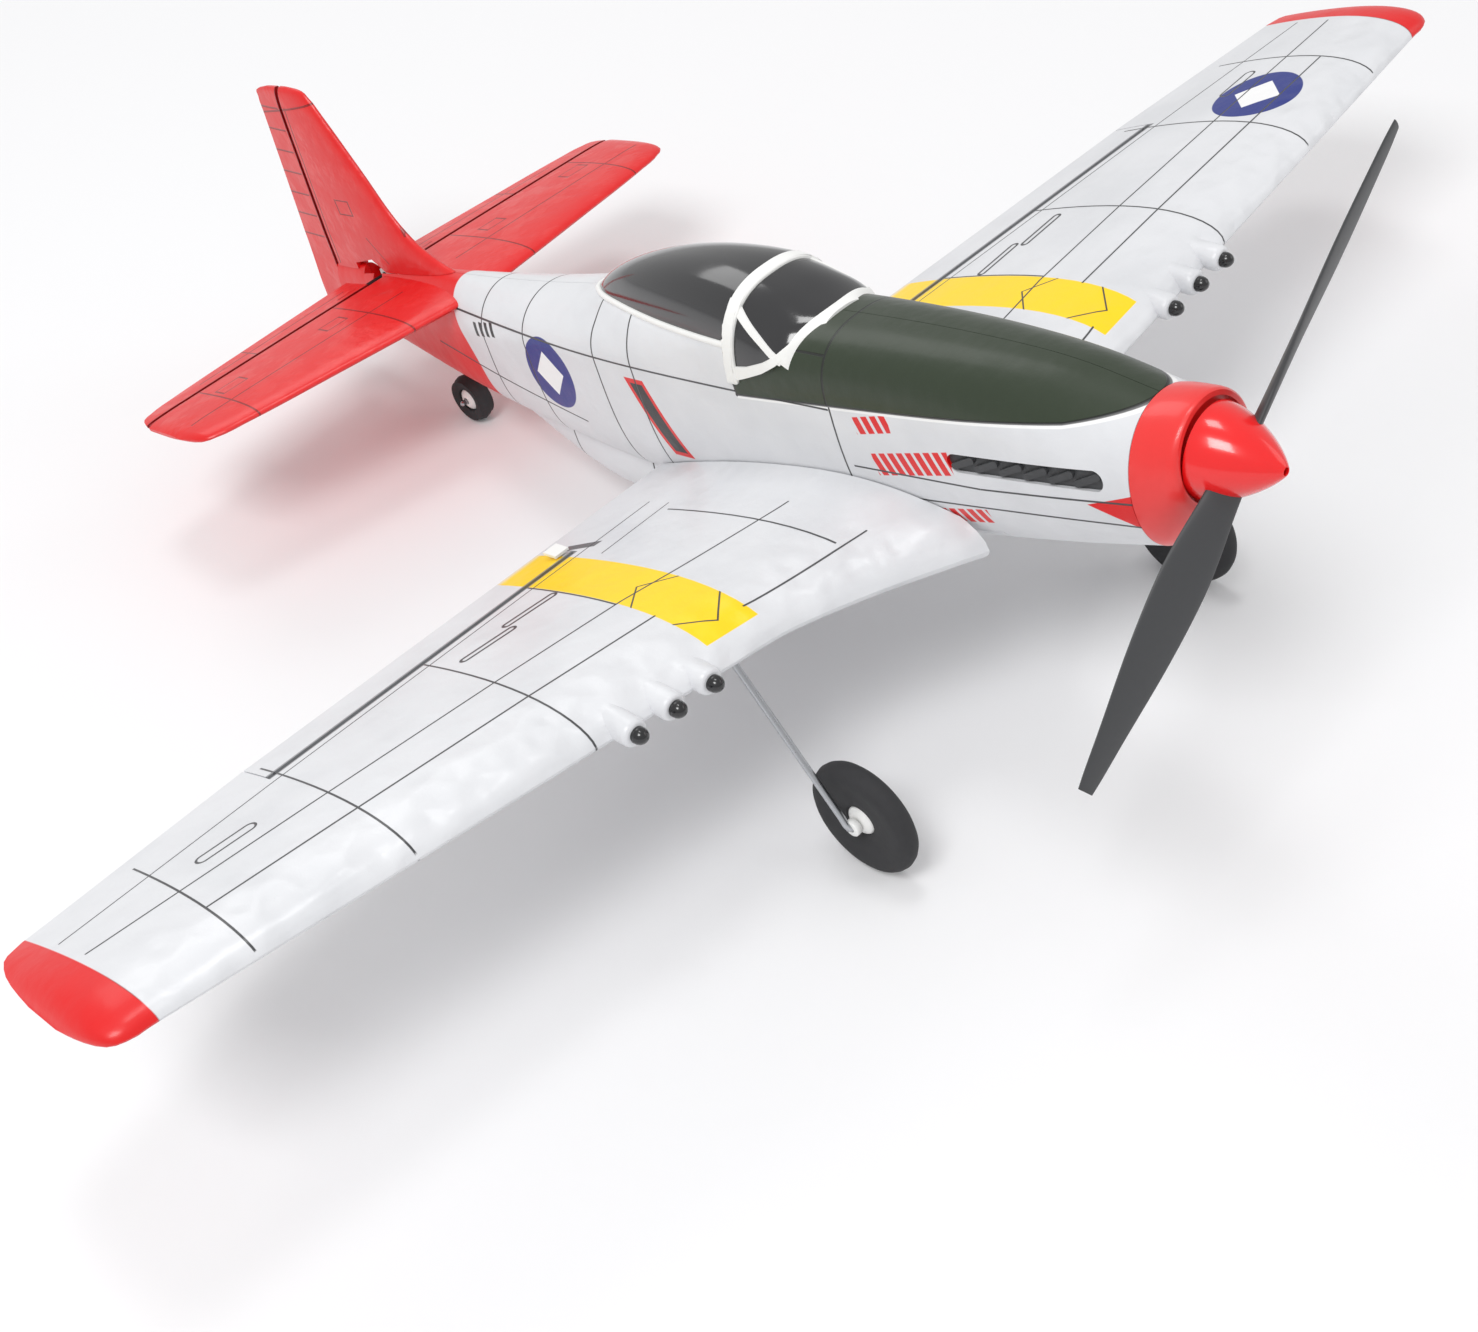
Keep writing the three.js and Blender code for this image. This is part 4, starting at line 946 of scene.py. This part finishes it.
def tailPaint(name, upright):
    shader = Shader(name, IOR=1.45, Coat_Weight=0.35, Coat_Roughness=0.18)
    x, y, z = shader.axes()
    if upright:
        hinge = 155.2 + (z + 13.5) * -0.154
        box = abs(y - 134).most(abs(z - 20) * 1.6)
        lines = strongest([
            (y - hinge + 2.4).line(0, 0.3) * z.between(2, 47),
            (z - 3.2).zigzag(3.1).line(0, 0.3) * (y - hinge).above(1.5) * z.between(4, 50),
            (z - (y - 140) * -0.12).line(47, 0.3),
            (y - 98.4 - z * 0.533 - 6.5).line(0, 0.3) * z.between(13, 46),
            box.line(3.2, 0.35), (y - 118 - z * 0.9).line(0, 0.3) * z.between(5, 12)])
        # painted shade: a band along the rudder's hinge gap is darkened
        hingeShadeBand = (y - hinge).between(-1.1, 0.9) * z.above(1)
    else:
        out = abs(x)
        box = abs(out - 27).most(abs(y - 116) * 1.4)
        tab = abs(out - 58).most(abs(y - 118) * 1.6)
        lines = strongest([
            out.line(63, 0.3) * y.below(126.5), out.line(20, 0.3) * y.below(126.5),
            (y - 108.5 - out * 0.02).line(0, 0.3) * out.between(9, 75),
            box.line(3.2, 0.35), tab.line(3.6, 0.35),
            (y - 134.6 + out * 0.04).line(0, 0.3) * out.between(12, 60),
            out.line(44, 0.3) * y.above(128.4)])
        # painted shade: a band along the elevators' hinge gap is darkened
        hingeShadeBand = (y - tail["hingeY"]).between(-1.1, 0.9) * out.above(7)
    # paler red in random patches, where the foam is also glossier and more dented
    paleRedPatches = shader.noise(0.12, 3.0, 0.6).rise(0.45, 0.62) * 0.35
    marks = [(paleRedPatches, paints["redLight"]), (lines * 0.75, paints["redLineAndShade"]),
             (hingeShadeBand * 0.8, paints["redLineAndShade"])]
    foamFinish(shader, marks, (paints["red"], paints["red"]), lines, paleRedPatches * 1.6, 0.28)
    return shader.material


def buildTail(flatPaint, finPaint, shadeStrip):
    hingeY, innerX = tail["hingeY"], tail["innerX"]
    front, back = hingeY - tail["before"], hingeY + tail["behind"]
    fixed = combined(tailBody(), ("INTERSECT", block(-90, 90, 60, front, -20, 20)),
                     ("DIFFERENCE", block(-2.3, 2.3, 119, 140, -20, 20)))
    piece("tailplaneFoam", fixed, "airframe", flatPaint, ["tailplane"], 32)
    for word, x0, x1 in (("Left", innerX, 90), ("Right", -90, -innerX)):
        moving = combined(tailBody(), ("INTERSECT", block(x0, x1, back, 150, -20, 20)),
                          ("DIFFERENCE", joinerRod(16.3, 1.1, 24)))
        piece(f"elevator{word}", moving, "elevator", flatPaint,
              [f"elevator_{word.lower()}"], 32)
        a, b = (7.9, 78) if word == "Left" else (-78, -7.9)
        # the hinge straps are dark red, painted shade in the gaps
        strap = block(a, b, hingeY - 1.6, hingeY + 1.2, -0.3, 0.3)
        made = piece(f"elevatorHinge{word}", strap, None, shadeStrip)
        toFrame(0, front, 0)
        toFrame(0, back, 0)
        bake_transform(made)
    hornNotch = prism([(119, -3), (141, -3), (141, 3.2), (131, 5.4)], "X", -5, 5)
    upright = combined(finBody(), ("INTERSECT", sidePrism(-tail["before"], 60, -2, 70)),
                       ("DIFFERENCE", fuselageBody(60, tailY, -0.1, 40, 48)),
                       ("DIFFERENCE", hornNotch))
    piece("finFoam", upright, "airframe", finPaint, ["fin"], 32)
    rudder = combined(finBody(), ("INTERSECT", sidePrism(tail["behind"], 190, -30, 70)),
                      ("DIFFERENCE", block(-9, 9, 155.7, 158.5, -8.5, -6.9)))
    piece("rudderFoam", rudder, "rudder", finPaint, ["rudder"], 32)
    # the rudder's hinge strip is dark red, painted shade in the gap
    corners = ((-0.3, -1.6), (0.3, -1.6), (0.3, 1.2), (-0.3, 1.2))
    spine = lofted([[(x, rudderHingeY(z) + dy, z) for x, dy in corners] for z in steps(2, 50, 10)])
    made = piece("rudderHinge", spine, None, shadeStrip)
    y = rudderHingeY(20)
    toFrame(0, y - tail["before"], 20)
    toFrame(0, y + tail["behind"], 20)
    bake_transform(made)


# wheels and their wires: name, body, centre, radius, width, hub radius
axle = {"x": 54, "y": -73.7, "z": -70.4}
wheels = [
    ("wheelLeft", "wheel_left", (axle["x"], axle["y"], axle["z"]), 13.5, 5, 3.4),
    ("wheelRight", "wheel_right", (-axle["x"], axle["y"], axle["z"]), 13.5, 5, 3.4),
    ("tailWheel", "tail_wheel", (0, 113, -34.8), 6.6, 5, 3.0),
]
wireRadius = 0.75
flatReach = math.cos(math.pi / 24)  # keeps the tyre inside the 24-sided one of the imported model


def onAxle(bm, centre):
    turn = Matrix.Rotation(-math.pi / 2, 4, "Z")
    bmesh.ops.transform(bm, matrix=Matrix.Translation(centre) @ turn, verts=bm.verts[:])
    return bm


def buildWheels(tyrePaint, hubPaint, steel):
    for name, body, centre, radius, width, hub in wheels:
        rim, half = radius * flatReach, width / 2
        profile = [(hub + 0.15, -half * 0.5), (hub + 0.5, -half * 0.62),
                   (radius * 0.5, -half * 0.72), (radius * 0.68, -half * 0.9),
                   (radius * 0.8, -half * 0.98), (radius * 0.88, -half * 0.93),
                   (rim - 0.75, -half * 0.72), (rim - 0.25, -half * 0.42), (rim, 0)]
        profile += [(r, -a) for r, a in reversed(profile[:-1])]
        profile += [profile[0]]
        piece(f"{name}Tyre", onAxle(turned(profile, 96), centre), body, tyrePaint,
              [f"{body}_tyre"], 60)
        bore = wireRadius + 0.2
        disc = [(bore, -half * 0.9), (hub * 0.5, -half * 0.9), (hub * 0.62, -half * 0.82),
                (hub * 0.9, -half * 0.62), (hub, -half * 0.45), (hub, half * 0.45),
                (hub * 0.9, half * 0.62), (hub * 0.62, half * 0.82), (hub * 0.5, half * 0.9),
                (bore, half * 0.9), (bore, -half * 0.9)]
        piece(f"{name}Hub", onAxle(turned(disc, 64), centre), body, hubPaint,
              [f"{body}_hub"], 50)
    for side, word in ((1, "left"), (-1, "right")):
        x, y, z = axle["x"], axle["y"], axle["z"]
        outer, inner = x + 4.7, x - 4.1
        path = [(wing["gear"], -55.5, wingLine(wing["gear"]) - 2.2),
                (outer + 0.02, y + 1.1, z + 3.2), (outer, y + 0.5, z + 1.5),
                (outer - 0.25, y + 0.12, z + 0.4), (outer - 0.9, y, z), (inner, y, z)]
        wire = tube([(side * a, b, c) for a, b, c in path], wireRadius)
        piece(f"gearWire{word.capitalize()}", wire, "airframe", steel,
              [f"gear_wire_{word}"], 60)
        collar = turned([(0.78, -0.8), (1.7, -0.8), (1.9, -0.6), (1.9, 0.6), (1.7, 0.8),
                         (0.78, 0.8), (0.78, -0.8)], 32)
        piece(f"wheelCollar{word.capitalize()}", onAxle(collar, (side * (x + 3.45), y, z)),
              "airframe", hubPaint, (), 50)


def plainFinish(name, colour, rough, metallic=0.0, coat=0.0, grain=0.03):
    shader = Shader(name, Metallic=metallic, Coat_Weight=coat, Coat_Roughness=0.08)
    shader.axes()
    fine = shader.noise(0.6, 3.0)
    darker = tuple(v * 0.9 for v in colour)
    shader.feed("Base Color", shader.paint(colour, fine.rise(0.3, 0.8) * 0.2, darker))
    shader.feed("Roughness", fine * 0.08 + (rough - 0.04))
    shader.bump(fine, 0.2, grain * 0.001)
    return shader.material


finishes = {
    "dark_glazing": plainFinish("smokedGlazing", rgb(40, 40, 42), 0.14, 0, 0.6, 0.0),
    "white_plastic": plainFinish("whitePlastic", rgb(240, 240, 238), 0.38),
    "black_plastic": plainFinish("blackPlastic", rgb(62, 63, 65), 0.5),
    "tyre_foam": plainFinish("tyreFoam", rgb(46, 46, 48), 0.78, 0, 0, 0.25),
    "steel_wire": plainFinish("steelWire", rgb(186, 188, 192), 0.28, 1.0, 0, 0.002),
    "brass": plainFinish("brassPinion", rgb(205, 170, 90), 0.32, 1.0),
    "carbon": plainFinish("carbonRod", rgb(30, 30, 33), 0.4),
    "circuit_board": plainFinish("boardGreen", rgb(30, 104, 58), 0.45),
    "battery_wrap": plainFinish("batteryWrap", rgb(46, 84, 170), 0.35),
    "red_plastic": plainFinish("spinnerRed", rgb(235, 22, 24), 0.2, 0, 0.5, 0.0),
    "red_foam": plainFinish("cowlRed", rgb(232, 48, 46), 0.36, 0, 0.25, 0.1),
    "silver_foam": plainFinish("hingeShadeGrey", rgb(150, 151, 154), 0.6),
# the grey hinge finish is painted shade for the strips in the aileron grooves; the imported silver foam parts get
# it too
}
# the dark red hinge finish is painted shade for the strips in the tail's hinge gaps
tailHingeShade = plainFinish("tailHingeShadeRed", rgb(150, 20, 24), 0.5)
muzzleBlack = plainFinish("muzzleBlack", rgb(26, 26, 28), 0.22, 0, 0.4, 0.0)
print("finishes made")

slotOf = {part["node"]: part["material_slot"] for part in frame["record"]["subparts"]}
for name, node in frame["nodes"].items():
    node.data.materials.clear()
    node.data.materials.append(finishes[slotOf[name]])

bodyPaint, wingFoam = fuselagePaint(), wingPaint()
flatPaint, finPaint = tailPaint("tailplaneFoamRed", False), tailPaint("finFoamRed", True)
buildFuselage(bodyPaint, finishes["black_plastic"])
print("fuselage built")
buildCanopy(finishes["dark_glazing"], finishes["white_plastic"])
buildNose(finishes["red_foam"], finishes["red_plastic"], finishes["black_plastic"], muzzleBlack)
print("canopy and nose built")
buildWings(wingFoam, muzzleBlack, finishes["silver_foam"])
print("wings built")
buildTail(flatPaint, finPaint, tailHingeShade)
buildWheels(finishes["tyre_foam"], finishes["white_plastic"], finishes["steel_wire"])
print("tail and wheels built")

# pale floor, soft lights and the camera
studio = {
    "floor": 6.0, "lens": 51.15, "world": 0.62, "camera": (-245.705, -351.324, 185.605),
    "axes": [(0.6906158, -0.6594760, -0.2968858), (0.5632534, 0.2329595, 0.7927644),
             (-0.4536467, -0.7147176, 0.5323376)],  # the camera's right, up and back
}
bm = bmesh.new()
bmesh.ops.create_grid(bm, x_segments=1, y_segments=1, size=studio["floor"])
floorMesh = bpy.data.meshes.new("floor")
bm.to_mesh(floorMesh)
bm.free()
floor = bpy.data.objects.new("floor", floorMesh)
bpy.context.scene.collection.objects.link(floor)
pale = bpy.data.materials.new("paleFloor")
pale.use_nodes = True
paleSurface = pale.node_tree.nodes["Principled BSDF"]
paleSurface.inputs["Base Color"].default_value = (0.86, 0.86, 0.87, 1)
paleSurface.inputs["Roughness"].default_value = 0.9
floorMesh.materials.append(pale)

world = bpy.data.worlds.new("studio")
bpy.context.scene.world = world
world.use_nodes = True
background = world.node_tree.nodes["Background"]
background.inputs["Color"].default_value = (1, 1, 1, 1)
background.inputs["Strength"].default_value = studio["world"]

lights = [
    ("keyLight", (-0.75, -0.35, 1.25), 0.5, 9), ("fillLight", (1.1, -0.9, 0.8), 0.8, 2),
    ("backLight", (0.3, 1.2, 1.1), 0.7, 3), ("topLight", (0.15, 0.1, 1.5), 0.35, 3),
]
for name, place, size, power in lights:
    lamp = bpy.data.lights.new(name, "AREA")
    lamp.size, lamp.energy = size, power
    made = bpy.data.objects.new(name, lamp)
    made.location = place
    aim = Vector((0, 0, 0.05)) - Vector(place)
    made.rotation_euler = aim.to_track_quat("-Z", "Y").to_euler()
    bpy.context.scene.collection.objects.link(made)

lens = bpy.data.cameras.new("camera")
lens.lens, lens.sensor_width, lens.sensor_fit = studio["lens"], 36, "HORIZONTAL"
lens.clip_start = 0.01
camera = bpy.data.objects.new("camera", lens)
bpy.context.scene.collection.objects.link(camera)
turn = Matrix([leaned.to_3x3() @ Vector(axis) for axis in studio["axes"]]).transposed()
camera.matrix_world = Matrix.Translation(toFrame(*studio["camera"])) @ turn.to_4x4()
bpy.context.scene.camera = camera
bpy.context.scene.view_settings.view_transform = "Standard"  # true paint colours
